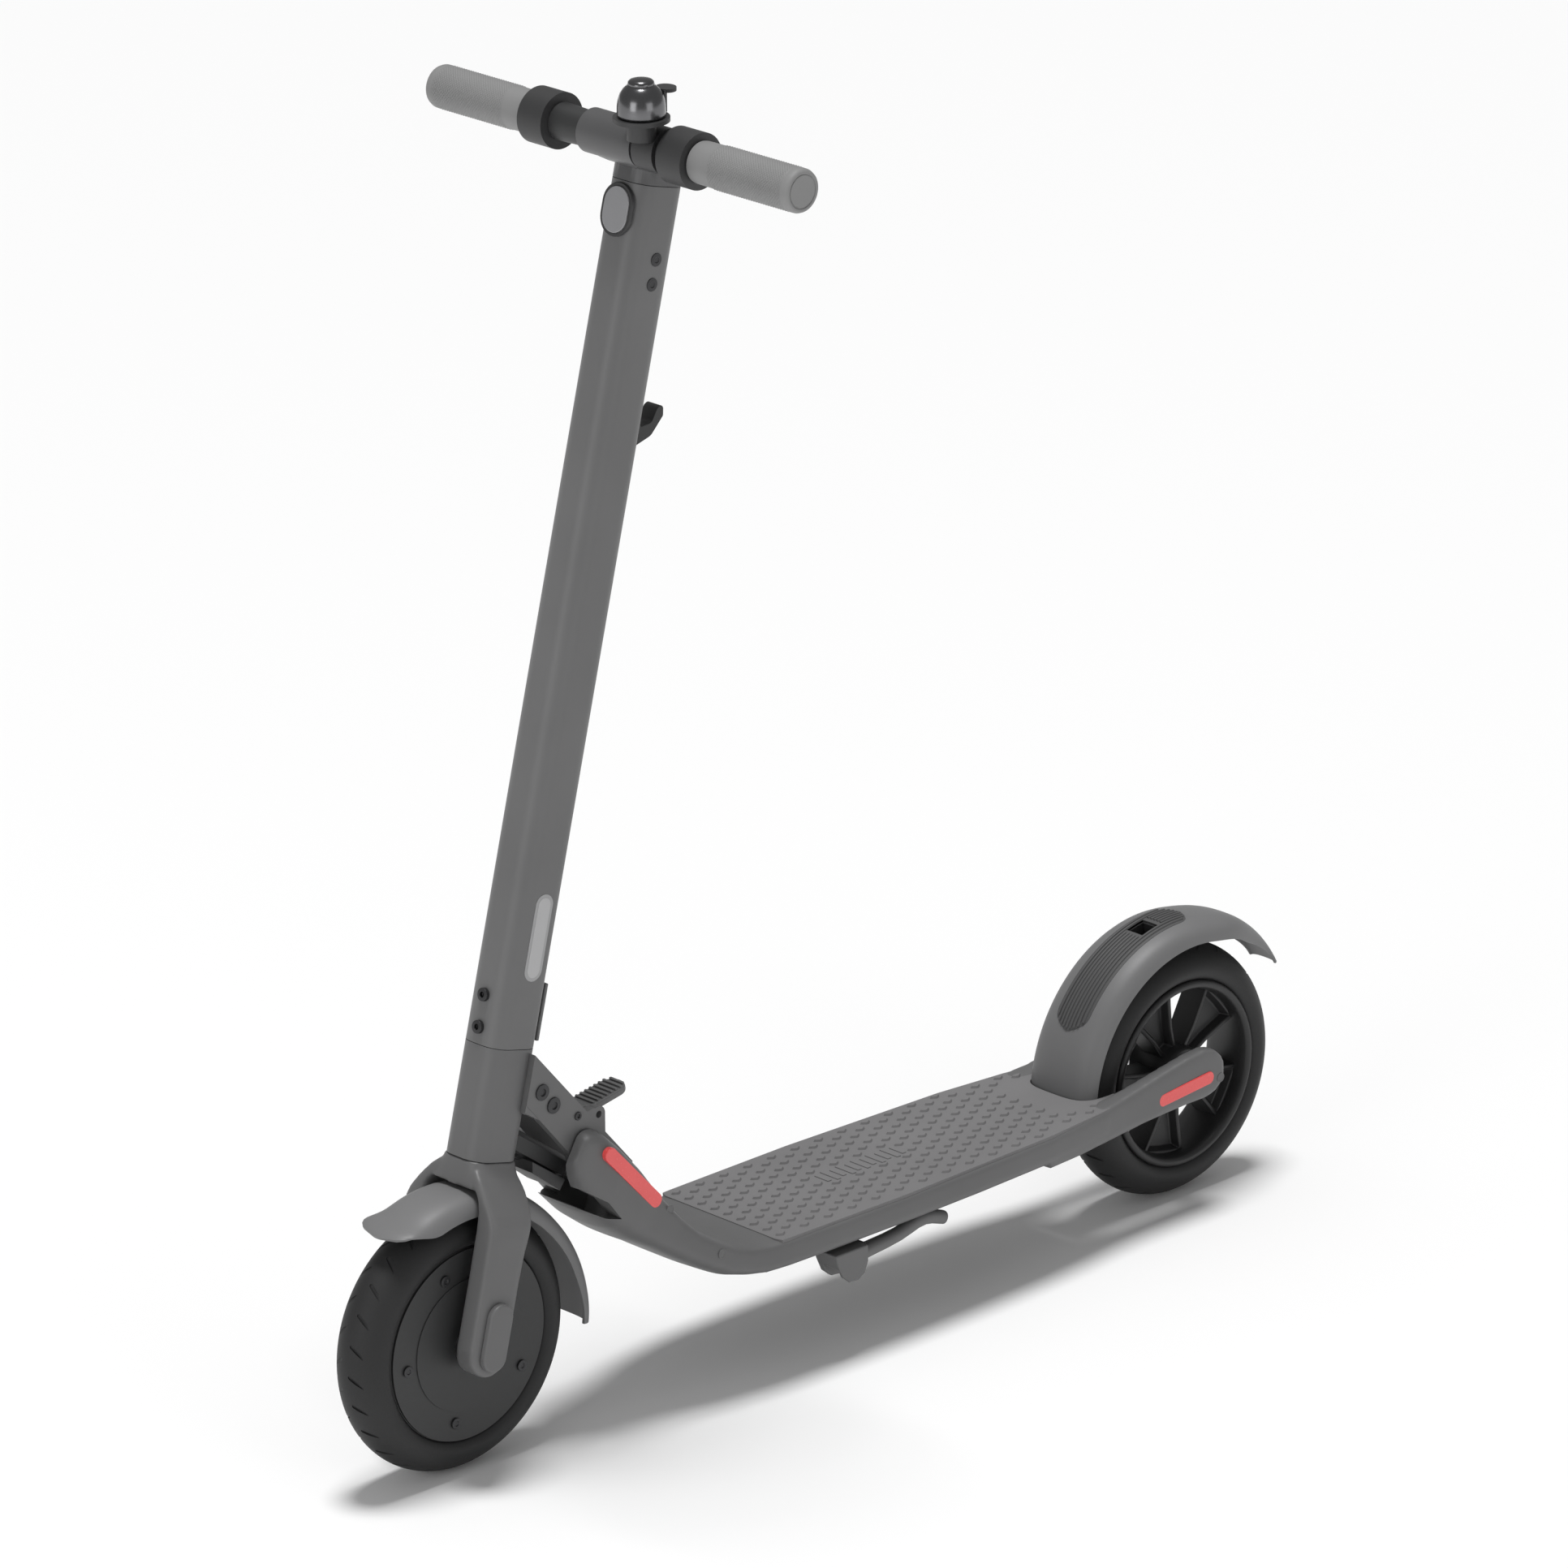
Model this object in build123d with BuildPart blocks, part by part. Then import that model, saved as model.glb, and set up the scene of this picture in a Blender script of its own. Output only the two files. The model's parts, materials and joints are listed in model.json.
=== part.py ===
"""Folding electric kick scooter with a front hub motor and a foot brake, in millimetres.

X points forward, Y to the rider's left, Z up. The origin lies on the ground under the
middle of the bounding box. Stations on the stem are (s, t): s runs up the steering axis
from the front axle, t runs forward, square to it.
"""
from build123d import *
import math
import os

# ---------------------------------------------------------------- driving sizes
wheel_base = 839.0
tyre_radius = 114.3
tyre_half_width = 26.3
rim_radius = 84.0
rake = 14.3
bar_half_width = 211.5
grip_length = 116.0
head_tube_length = 95.0
stem_length = 714.0
stem_depth = 52.0
stem_screw_heights = (261.8, 288.8)
stem_width = 45.0
stem_corner = 16.0
stem_wall = 3.0
deck_half_width = 77.5
deck_thickness = 28.5
deck_wall = 3.0
mat_thickness = 3.5

# clearances
run = 0.3
bore = 0.1
snug = 0.05

# wheels and axles
axle_radius = 6.0
rear_axle_radius = 5.0
motor_half_width = 23.2
motor_screw_circle = 67.5
motor_plate_radius = 57.5
spoke_count = 5

# front fork and fender
fender_gap = 12.0
fender_wall = 2.6
fender_half_width = 31.0
crown_s = tyre_radius + 38.4
leg_inner = fender_half_width + 0.6
leg_thickness = 24.0
leg_depth = 41.0
leg_offset = 4.0

# fold joint, behind the head tube
pivot_s = crown_s - 15.8
pivot_t = -(tyre_radius + 23.0)
pivot_radius = 6.0
eye_radius = 17.0
bracket_half = 28.0
plate_thickness = 8.0
cheek_inner = bracket_half + 2.0
cheek_outer = cheek_inner + 10.0

# deck
deck_rise = 11.7
arm_outer = 58.0
arm_inner = 42.0
tail_reach = 139.6
rear_fender_radius = tyre_radius + 25.7
rear_fender_half = 37.0
rear_fender_wall = 3.0
fender_hinge = (tyre_radius + 10.7, -3.0)
fender_pin_radius = 3.0

# bar
bar_radius = 11.0
bar_s = crown_s + head_tube_length + stem_length + 34.1
bar_t = 39.2
clamp_radius = 18.5
clamp_half = 31.0
collar_inner = 67.0
collar_width = 28.0
collar_radius = 23.5
grip_radius = 18.0

# ---------------------------------------------------------------- places that follow
sin_r = math.sin(math.radians(rake))
cos_r = math.cos(math.radians(rake))
rear_x = -(wheel_base + tyre_radius - tail_reach) / 2
front_x = rear_x + wheel_base
axle_z = tyre_radius
deck_top = axle_z + deck_rise
deck_bottom = deck_top - deck_thickness
stem_low = crown_s + head_tube_length
stem_high = stem_low + stem_length
grip_start = bar_half_width - grip_length


def on_stem(s, t=0.0, y=0.0):
    """The point at station s, t, y."""
    return (front_x - s * sin_r + t * cos_r, y, axle_z + s * cos_r + t * sin_r)


def stem_cut(s, t=0.0, y=0.0):
    """A plane square to the steering axis: local X forward, local Y left."""
    return Plane(origin=on_stem(s, t, y), x_dir=(cos_r, 0, sin_r), z_dir=(-sin_r, 0, cos_r))


def stem_side(y=0.0):
    """The side view along the stem: local coordinates (t, s), normal to the right."""
    return Plane(origin=on_stem(0, 0, y), x_dir=(cos_r, 0, sin_r), z_dir=(0, -1, 0))


def stem_front(t=0.0):
    """The front view of the stem: local coordinates (y, s), normal forward."""
    return Plane(origin=on_stem(0, t), x_dir=(0, 1, 0), z_dir=(cos_r, 0, sin_r))


def side(y=0.0):
    """The side view, measured from the rear axle's foot: local (x, z), normal to the right."""
    return Plane(origin=(rear_x, y, 0), x_dir=(1, 0, 0), z_dir=(0, -1, 0))


def plan(z=0.0):
    """The plan view, measured from the rear axle."""
    return Plane(origin=(rear_x, 0, z))


def hub_side(x, y=0.0):
    """The side view about an axle at x: local X forward, local Y up."""
    return Plane(origin=(x, y, axle_z), x_dir=(1, 0, 0), z_dir=(0, -1, 0))


def bar_cut(y=0.0):
    """The side view about the bar's axis at y."""
    return Plane(origin=on_stem(bar_s, bar_t, y), x_dir=(1, 0, 0), z_dir=(0, -1, 0))


pivot = on_stem(pivot_s, pivot_t)
px = pivot[0] - rear_x
pz = pivot[2]
bar = on_stem(bar_s, bar_t)


os.makedirs("parts", exist_ok=True)


def save(builder, name):
    """Label a finished sub-part and write it."""
    builder.part.label = name
    export_step(builder.part, f"parts/{name}.step")


# ---------------------------------------------------------------- deck frame
neck_top = [
    (px - 122, deck_top),
    (px - 87, deck_top + 8),
    (px - 69, deck_top + 21),
    (px - 52, deck_top + 39),
    (px + 29, pz + 48),
]
deck_turn = 14.0
belly_slope = 36.0
belly_flat = 44.0
belly = [
    (px + 51, pz - 2),
    (px + 35, pz - 27),
    (px + 17, pz - 45),
    (px - 37, pz - 79),
    (px - 74, deck_bottom + 15),
    (px - 101, deck_bottom + 3),
    (px - 130, deck_bottom),
]
neck_radii = [1, 30, 40, 60, 10, 4, 10, 20, 1]
deck_tail = 118.0
mat_tail = deck_tail - 8
outline = [
    (deck_tail - 70, arm_outer),
    (deck_tail + 20, deck_half_width - 13),
    (deck_tail + 92, deck_half_width - 5.5),
    (px / 2 + 50, deck_half_width),
    (px - 150, deck_half_width - 1.5),
    (px - 105, deck_half_width - 6.5),
    (px - 60, deck_half_width - 14),
    (px, 56.0),
    (px + 52, 47.0),
]


def deck_outline(inset=0.0, x_low=deck_tail, x_high=px + 60):
    """The deck's plan shape between two stations, set in from its edge."""
    with BuildSketch() as shape:
        with BuildLine():
            edge = Spline(*[(x, y - inset) for x, y in outline])
            Line(edge @ 1, (outline[-1][0], 0))
            Line((outline[-1][0], 0), (outline[0][0], 0))
            Line((outline[0][0], 0), edge @ 0)
        make_face()
        mirror(about=Plane.XZ)
        with Locations(((x_low + x_high) / 2, 0)):
            Rectangle(x_high - x_low, 4 * deck_half_width, mode=Mode.INTERSECT)
    return shape.sketch


seam = [(px + 42, pz + 22), (px, pz - 16), (px - 34, pz - 44), (px - 66, deck_top + 16), (px - 100, deck_top + 3)]


def turned_in(flat, low):
    """A tall shape whose lower corners slope in to half the width flat at height low."""
    with BuildSketch() as shape:
        Polygon((-flat, low - 60), (flat, low - 60), (flat, low), (flat + deck_turn, low + deck_turn), (150, low + deck_turn),
                (150, low + 300), (-150, low + 300), (-150, low + deck_turn), (-flat - deck_turn, low + deck_turn),
                (-flat, low), align=None)
    return shape.sketch


with BuildPart() as belly_block:
    with BuildSketch(side()):
        with BuildLine():
            Polyline((px - 130, deck_top - 2), (px - 100, deck_top - 2), *reversed(seam[:-1]), *belly, close=True)
        make_face()
    extrude(amount=deck_half_width, both=True)
    with BuildSketch(plan(deck_bottom - 50)):
        add(deck_outline(x_low=px - 131, x_high=px + 52))
    extrude(amount=400, mode=Mode.INTERSECT)
    # its lower corners turn in along the slope, then along the deck
    slope = Vector(math.cos(math.radians(belly_slope)), 0, math.sin(math.radians(belly_slope)))
    with BuildSketch(Plane(origin=(rear_x + px - 37, 0, pz - 79), x_dir=(0, 1, 0), z_dir=slope)):
        add(turned_in(belly_flat, 0))
    extrude(amount=250, both=True, mode=Mode.INTERSECT)
    with BuildSketch(Plane(origin=(rear_x + px, 0, 0), x_dir=(0, 1, 0), z_dir=(1, 0, 0))):
        add(turned_in(deck_half_width - 5 - deck_turn, deck_bottom))
    extrude(amount=250, both=True, mode=Mode.INTERSECT)

with BuildPart() as deck_frame:
    # the deck box, its lower edges turned in
    with BuildSketch(plan(deck_bottom)):
        add(deck_outline(x_high=px - 60))
    extrude(amount=deck_thickness)
    lower = deck_frame.faces().sort_by(Axis.Z)[0].edges().filter_by(GeomType.BSPLINE)
    chamfer(lower, length=deck_turn)
    # the neck's belly, as wide as the outline
    add(belly_block.part)
    # the cast cheeks that carry the fold pin
    with BuildSketch(side()):
        with BuildLine():
            FilletPolyline(*neck_top, (px + 44, pz + 30), (px + 46, pz), (px - 37, pz - 60),
                           (px - 122, deck_top - 5), radius=neck_radii, close=True)
        make_face()
    extrude(amount=cheek_outer, both=True)
    # the well for the fold bracket
    with BuildSketch(side()):
        with BuildLine():
            Polyline((px - 24, pz - 14), (px - 24, pz + 80), (px + 90, pz + 80), (px + 90, pz + 10),
                     (px + 52, pz + 6), (px + 30, pz - 24), (px + 14, pz - 39), (px - 12, pz - 54), close=True)
        make_face()
    extrude(amount=cheek_inner, both=True, mode=Mode.SUBTRACT)
    # the hollow for the controller
    with BuildSketch(plan(deck_bottom)):
        add(deck_outline(inset=16, x_low=deck_tail + 30, x_high=px - 135))
    extrude(amount=deck_thickness - deck_wall, mode=Mode.SUBTRACT)
    # the rear arms
    for hand in (-1, 1):
        with BuildSketch(side(hand * (arm_inner + arm_outer) / 2)):
            with BuildLine():
                Polyline((deck_tail + 30, deck_top), (mat_tail - 0.5, deck_top), (mat_tail - 18, axle_z + 18.5),
                         (20, axle_z + 32), (7, axle_z + 33), (5, axle_z - 11.5), (56, axle_z - 10), (deck_tail + 30, axle_z - 6),
                         close=True)
            make_face()
            with Locations((7, axle_z + 10.7)):
                Circle(22.5)
        extrude(amount=(arm_outer - arm_inner) / 2, both=True)
    with BuildSketch(hub_side(rear_x)):
        Circle(rear_axle_radius + snug)
    extrude(amount=arm_outer - 3.9, both=True, mode=Mode.SUBTRACT)
    # the room for the rear wheel and its fender
    with BuildSketch(hub_side(rear_x)):
        Circle(rear_fender_radius + 1.2)
    extrude(amount=rear_fender_half + 1.2, both=True, mode=Mode.SUBTRACT)
    with BuildSketch(hub_side(rear_x)):
        with Locations(fender_hinge):
            Circle(fender_pin_radius + snug)
    extrude(amount=45.1, both=True, mode=Mode.SUBTRACT)
    # the fold pin's bore
    with BuildSketch(side()):
        with Locations((px, pz)):
            Circle(pivot_radius + snug)
    extrude(amount=deck_half_width, both=True, mode=Mode.SUBTRACT)
save(deck_frame, "deck_frame")

with BuildPart() as bottom_cover:
    with BuildSketch(plan(deck_bottom)):
        add(deck_outline(inset=16 + run, x_low=deck_tail + 30 + run, x_high=px - 135 - run))
    extrude(amount=deck_wall)
save(bottom_cover, "bottom_cover")

with BuildPart() as deck_mat:
    with BuildSketch(plan(deck_top)):
        add(deck_outline(inset=2.5, x_low=mat_tail, x_high=px - 124))
    extrude(amount=mat_thickness)
    with BuildSketch(hub_side(rear_x)):
        Circle(rear_fender_radius + 1.8)
    extrude(amount=rear_fender_half + 1.8, both=True, mode=Mode.SUBTRACT)
save(deck_mat, "deck_mat")

# ---------------------------------------------------------------- neck covers
reflector_length = 88.0
reflector_width = 14.5
reflector_angle = 47.6
neck_reflector = (px + 7, pz + 9)
rear_reflector = (34.0, axle_z + 5.0)
cover_top = [(px - 110, deck_top + 5), (px - 87, deck_top + 13), (px - 67, deck_top + 27),
             (px - 49, deck_top + 46), (px - 8, pz + 14), (px + 33, pz + 56)]

cover_radii = [1, 30, 40, 50, 60, 9, 9, 4, 20, 20, 20, 20, 1]

for hand, name in ((1, "neck_cover_left"), (-1, "neck_cover_right")):
    with BuildPart() as neck_cover:
        with BuildSketch(side(hand * (cheek_outer + run))):
            with BuildLine():
                FilletPolyline(*cover_top, (px + 52, pz + 38), (px + 46, pz + 26), *[(x, z + run) for x, z in seam],
                               radius=cover_radii, close=True)
            make_face()
        extrude(amount=-hand * deck_half_width)
        with BuildSketch(plan(deck_bottom)):
            add(deck_outline(x_low=px - 112, x_high=px + 52))
        extrude(amount=400, mode=Mode.INTERSECT)
        with BuildSketch(side(hand * (48.0))):
            with Locations(Location((*neck_reflector, 0), (0, 0, reflector_angle))):
                SlotOverall(reflector_length + 2 * run, reflector_width + 2 * run)
        extrude(amount=-hand * 60, mode=Mode.SUBTRACT)
    save(neck_cover, name)

with BuildPart() as side_reflectors:
    for hand in (-1, 1):
        with BuildSketch(side(hand * (48.0 + run))):
            with Locations(Location((*neck_reflector, 0), (0, 0, reflector_angle))):
                SlotOverall(reflector_length, reflector_width)
        extrude(amount=-hand * 6.5)
        with BuildSketch(side(hand * (arm_outer + snug))):
            with Locations(Location((*rear_reflector, 0), (0, 0, -4.8))):
                SlotOverall(68, 11.5)
        extrude(amount=-hand * 1.6)
save(side_reflectors, "side_reflectors")

with BuildPart() as fold_pin:
    with BuildSketch(side()):
        with Locations((px, pz)):
            Circle(pivot_radius)
    extrude(amount=cheek_outer - 0.5, both=True)
save(fold_pin, "fold_pin")

with BuildPart() as controller:
    with BuildSketch(plan(deck_top - deck_wall - 18)):
        with Locations((px / 2 + 20, 0)):
            RectangleRounded(150, 76, 6)
    extrude(amount=18)
save(controller, "controller")

with BuildPart() as battery_board:
    with BuildSketch(plan(deck_top - deck_wall - 12)):
        with Locations((px / 2 + 150, 0)):
            RectangleRounded(60, 60, 3)
    extrude(amount=12)
save(battery_board, "relay_box")

# ---------------------------------------------------------------- kickstand
stand_x = px - 218.0
stand_y = 64.0
stand_z = deck_bottom - 9.5
stand_length = 108.0
stand_eye = 8.0
stand_pin = 4.0
stand_half = 5.0
stand_down = Vector(0.2, 0.70, -0.686)
stand_back = Vector(-0.994, 0.0, -0.105)
stand_axis = stand_back.cross(stand_down).normalized()
stand_plane = Plane(origin=(rear_x + stand_x, stand_y, stand_z), x_dir=stand_back, z_dir=stand_axis)

with BuildPart() as kickstand_bracket:
    with BuildSketch(plan(deck_bottom - snug)):
        with Locations((stand_x, stand_y - 22)):
            RectangleRounded(40, 32, 5)
    extrude(amount=-4)
    with BuildSketch(plan(deck_bottom - 3)):
        with Locations((stand_x, stand_y - 17)):
            Rectangle(2 * stand_eye, 15)
    extrude(amount=-10)
    with BuildSketch(stand_plane.offset(stand_half + run)):
        Circle(stand_eye)
    extrude(amount=16)
    with BuildSketch(stand_plane.offset(-stand_half - 3)):
        Circle(stand_pin)
    extrude(amount=2 * stand_half + 6)
    with BuildSketch(stand_plane.offset(-stand_half - 3)):
        Circle(stand_eye - 1.5)
    extrude(amount=3 - run)
save(kickstand_bracket, "kickstand_bracket")

with BuildPart() as kickstand:
    with BuildSketch(stand_plane):
        Circle(stand_eye)
        with Locations((stand_length / 2, 0)):
            Rectangle(stand_length, 9)
        with Locations((stand_length, 0)):
            Circle(6.5)
        Circle(stand_pin + bore, mode=Mode.SUBTRACT)
    extrude(amount=stand_half, both=True)
save(kickstand, "kickstand")

# ---------------------------------------------------------------- rear wheel
def tyre_section(x):
    """One tyre's section, drawn above its axle in the YZ plane."""
    with BuildSketch(Plane(origin=(x, 0, axle_z), x_dir=(0, 1, 0), z_dir=(1, 0, 0))) as section:
        with BuildLine():
            l1 = Line((-tyre_half_width + 5, rim_radius), (tyre_half_width - 5, rim_radius))
            l2 = Spline(l1 @ 1, (tyre_half_width, rim_radius + 9), (tyre_half_width - 4, tyre_radius - 12),
                        (0, tyre_radius), (-tyre_half_width + 4, tyre_radius - 12),
                        (-tyre_half_width, rim_radius + 9), l1 @ 0)
        make_face()
    return section.sketch


def axle_line(x):
    """The axle's line at x."""
    return Axis((x, 0, axle_z), (0, 1, 0))


for x, name in ((rear_x, "rear_tyre"), (front_x, "front_tyre")):
    with BuildPart() as tyre:
        add(tyre_section(x))
        revolve(axis=axle_line(x))
    save(tyre, name)

rear_rim_half = 24.0
rear_hub_radius = 24.0
bearing_outer = 16.0
bearing_width = 10.0

with BuildPart() as rear_rim:
    with BuildSketch(hub_side(rear_x)):
        Circle(rim_radius - snug)
        Circle(rim_radius - 12, mode=Mode.SUBTRACT)
    extrude(amount=rear_rim_half, both=True)
    with BuildSketch(hub_side(rear_x)):
        Circle(rim_radius - 10)
        Circle(rear_hub_radius - 1, mode=Mode.SUBTRACT)
        with PolarLocations(0, spoke_count, start_angle=90 - 180 / spoke_count):
            with Locations((49, 0)):
                Trapezoid(39, 34, 72, rotation=-90, mode=Mode.SUBTRACT)
        with PolarLocations(0, spoke_count, start_angle=90):
            with Locations((60, 0)):
                SlotOverall(20, 8, mode=Mode.SUBTRACT)
    extrude(amount=16, both=True)
    with BuildSketch(hub_side(rear_x)):
        Circle(rear_hub_radius)
    extrude(amount=26, both=True)
    with BuildSketch(hub_side(rear_x)):
        Circle(bearing_outer + snug)
    extrude(amount=27, both=True, mode=Mode.SUBTRACT)
    with BuildSketch(hub_side(rear_x)):
        Circle(bearing_outer + 2)
        Circle(bearing_outer - 4, mode=Mode.SUBTRACT)
    extrude(amount=15, both=True)
save(rear_rim, "rear_rim")

with BuildPart() as rear_bearings:
    for hand in (-1, 1):
        with BuildSketch(hub_side(rear_x, hand * 15.2)):
            Circle(bearing_outer)
            Circle(rear_axle_radius + snug, mode=Mode.SUBTRACT)
        extrude(amount=-hand * bearing_width)
save(rear_bearings, "rear_bearings")

with BuildPart() as rear_axle:
    with BuildSketch(hub_side(rear_x)):
        Circle(rear_axle_radius)
    extrude(amount=arm_outer - 4, both=True)
    for hand in (-1, 1):
        with BuildSketch(hub_side(rear_x, hand * (15.2 + bearing_width + run))):
            Circle(9)
        extrude(amount=-hand * (arm_inner - snug - 15.2 - bearing_width - run))
save(rear_axle, "rear_axle")

# ---------------------------------------------------------------- rear fender, a foot brake
kink = 115.5
tail_extra = 62.0
tail_tip_half = 9.0
slot_angle = 78.0
slot_length = 22.0
slot_half = 10.0
pad_low = 28.0
pad_high = 92.0


def arch(outer, wall, half, drop, x, z=axle_z):
    """A fender's section in the YZ plane above its centre: an arch, thickness wall."""
    with BuildSketch(Plane(origin=(x, 0, z), x_dir=(0, 1, 0), z_dir=(1, 0, 0))) as section:
        with BuildLine():
            top = ThreePointArc((-half, outer - drop), (0, outer), (half, outer - drop))
            Line(top @ 1, (half - wall, outer - drop))
            low = ThreePointArc((half - wall, outer - drop), (0, outer - wall), (-half + wall, outer - drop))
            Line(low @ 1, top @ 0)
        make_face()
    return section.sketch


def sector(low, high, reach):
    """A wedge between two angles about a wheel's axle."""
    with BuildSketch() as wedge:
        with BuildLine():
            middle = math.radians((low + high) / 2)
            ends = [(reach * math.cos(math.radians(q)), reach * math.sin(math.radians(q))) for q in (low, high)]
            far = (1.6 * reach * math.cos(middle), 1.6 * reach * math.sin(middle))
            Polyline((0, 0), ends[0], far, ends[1], close=True)
        make_face()
    return wedge.sketch


kink_dir = (math.cos(math.radians(kink)), math.sin(math.radians(kink)))
tail_x = rear_x - tail_extra * kink_dir[0]
tail_z = axle_z - tail_extra * kink_dir[1]

fender_drop = 18.0

with BuildPart() as fender_tail:
    add(arch(rear_fender_radius + tail_extra, rear_fender_wall, rear_fender_half, fender_drop, tail_x, tail_z))
    revolve(axis=Axis((tail_x, 0, tail_z), (0, 1, 0)), revolution_arc=360)
    with BuildSketch(Plane(origin=(tail_x, 0, tail_z), x_dir=(1, 0, 0), z_dir=(0, -1, 0))):
        add(sector(kink, kink + 50, 300))
    extrude(amount=deck_half_width, both=True, mode=Mode.INTERSECT)
    # the tail narrows to a rounded tip
    with BuildSketch(plan(axle_z - 40)):
        with BuildLine():
            FilletPolyline((0, -60), (-50, -rear_fender_half - 1), (-80, -rear_fender_half + 3),
                           (-tail_reach, -tail_tip_half), (-tail_reach, tail_tip_half),
                           (-80, rear_fender_half - 3), (-50, rear_fender_half + 1), (0, 60),
                           radius=[20, 20, 7, 7, 20, 20], close=False)
            Line((0, 60), (0, -60))
        make_face()
    extrude(amount=400, mode=Mode.INTERSECT)

with BuildPart() as rear_fender:
    add(arch(rear_fender_radius, rear_fender_wall, rear_fender_half, fender_drop, rear_x))
    revolve(axis=axle_line(rear_x), revolution_arc=360)
    with BuildSketch(hub_side(rear_x)):
        with BuildLine():
            Polyline((0, 0), (120, -12), (200, -12), (200, 300), (300 * kink_dir[0], 300), (300 * kink_dir[0], 300 * kink_dir[1]),
                     close=True)
        make_face()
    extrude(amount=deck_half_width, both=True, mode=Mode.INTERSECT)
    add(fender_tail.part)
    # the slot that takes the stem's hook when the scooter is folded
    with BuildSketch(hub_side(rear_x)):
        with Locations(Location((0, 0, 0), (0, 0, slot_angle))):
            with Locations((rear_fender_radius, 0)):
                Rectangle(30, slot_length)
    extrude(amount=slot_half, both=True, mode=Mode.SUBTRACT)
    with BuildSketch(hub_side(rear_x)):
        with Locations(fender_hinge):
            Circle(fender_pin_radius + bore)
    extrude(amount=deck_half_width, both=True, mode=Mode.SUBTRACT)
save(rear_fender, "rear_fender")

with BuildPart() as fender_pins:
    for hand in (-1, 1):
        with BuildSketch(hub_side(rear_x, hand * 31)):
            with Locations(fender_hinge):
                Circle(fender_pin_radius)
        extrude(amount=-hand * 14)
save(fender_pins, "fender_pins")

with BuildPart() as step_pad:
    with BuildSketch(Plane(origin=(rear_x, 0, axle_z), x_dir=(0, 1, 0), z_dir=(1, 0, 0))):
        with BuildLine():
            rise = ThreePointArc((-17, rear_fender_radius - 1.4), (0, rear_fender_radius + 1.8),
                                 (17, rear_fender_radius - 1.4))
            Polyline(rise @ 1, (17, rear_fender_radius - 4), (-17, rear_fender_radius - 4), rise @ 0)
        make_face()
    revolve(axis=axle_line(rear_x), revolution_arc=360)
    with BuildSketch(hub_side(rear_x)):
        add(sector(pad_low, pad_high, 170))
    extrude(amount=rear_fender_half, both=True, mode=Mode.INTERSECT)
    with BuildSketch(hub_side(rear_x)):
        with Locations(Location((0, 0, 0), (0, 0, slot_angle))):
            with Locations((rear_fender_radius, 0)):
                Rectangle(30, slot_length)
    extrude(amount=slot_half, both=True, mode=Mode.SUBTRACT)
    add(rear_fender.part, mode=Mode.SUBTRACT)
    add(step_pad.solids().sort_by(SortBy.VOLUME)[-1], mode=Mode.INTERSECT)
save(step_pad, "step_pad")

pad_gap = 5.0
with BuildPart() as brake_pad:
    with BuildSketch(hub_side(rear_x)):
        Circle(rear_fender_radius - rear_fender_wall - snug)
        Circle(tyre_radius + pad_gap, mode=Mode.SUBTRACT)
        add(sector(52, 68, 170), mode=Mode.INTERSECT)
    extrude(amount=12, both=True)
    add(rear_fender.part, mode=Mode.SUBTRACT)
save(brake_pad, "brake_pad")

# ---------------------------------------------------------------- front wheel, a hub motor
dish = 1.6
with BuildPart() as motor_shell:
    with BuildSketch(hub_side(front_x)):
        Circle(rim_radius - snug)
        Circle(rim_radius - 6, mode=Mode.SUBTRACT)
    extrude(amount=motor_half_width - dish, both=True)
save(motor_shell, "motor_shell")

magnet_inner = rim_radius - 10
with BuildPart() as motor_magnets:
    with BuildSketch(hub_side(front_x)):
        Circle(rim_radius - 6 - snug)
        Circle(magnet_inner, mode=Mode.SUBTRACT)
    extrude(amount=13, both=True)
save(motor_magnets, "motor_magnets")

with BuildPart() as motor_stator:
    with BuildSketch(hub_side(front_x)):
        Circle(magnet_inner - 0.6)
        with PolarLocations(magnet_inner - 12, 27):
            RectangleRounded(18, 5, 2, mode=Mode.SUBTRACT)
        Circle(axle_radius + snug, mode=Mode.SUBTRACT)
        with PolarLocations(30, 6):
            Circle(8, mode=Mode.SUBTRACT)
    extrude(amount=11, both=True)
save(motor_stator, "motor_stator")

cover_thickness = 4.0
with BuildPart() as motor_covers:
    for hand in (-1, 1):
        with BuildSketch(hub_side(front_x, hand * (motor_half_width - dish + snug))):
            Circle(rim_radius - 1)
            Circle(bearing_outer + snug, mode=Mode.SUBTRACT)
            with PolarLocations(motor_screw_circle, 5, start_angle=68.3):
                Circle(3.2, mode=Mode.SUBTRACT)
        extrude(amount=-hand * (cover_thickness - 2))
        with BuildSketch(hub_side(front_x, hand * (motor_half_width - dish - snug))):
            Circle(rim_radius - 6 - snug)
            Circle(bearing_outer + snug, mode=Mode.SUBTRACT)
            with PolarLocations(motor_screw_circle, 5, start_angle=68.3):
                Circle(3.2, mode=Mode.SUBTRACT)
        extrude(amount=hand * 4)
        with BuildSketch(hub_side(front_x, hand * (motor_half_width - dish - 4))):
            Circle(motor_plate_radius)
            Circle(bearing_outer + snug, mode=Mode.SUBTRACT)
        extrude(amount=-hand * 7)
save(motor_covers, "motor_covers")

with BuildPart() as motor_screws:
    for hand in (-1, 1):
        with BuildSketch(hub_side(front_x, hand * (motor_half_width - dish - 3))):
            with PolarLocations(motor_screw_circle, 5, start_angle=68.3):
                Circle(3.0)
        extrude(amount=-hand * 5.4)
save(motor_screws, "motor_screws")

with BuildPart() as motor_bearings:
    for hand in (-1, 1):
        with BuildSketch(hub_side(front_x, hand * (motor_half_width - 7))):
            Circle(bearing_outer)
            Circle(axle_radius + snug, mode=Mode.SUBTRACT)
        extrude(amount=-hand * 8)
save(motor_bearings, "motor_bearings")

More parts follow.
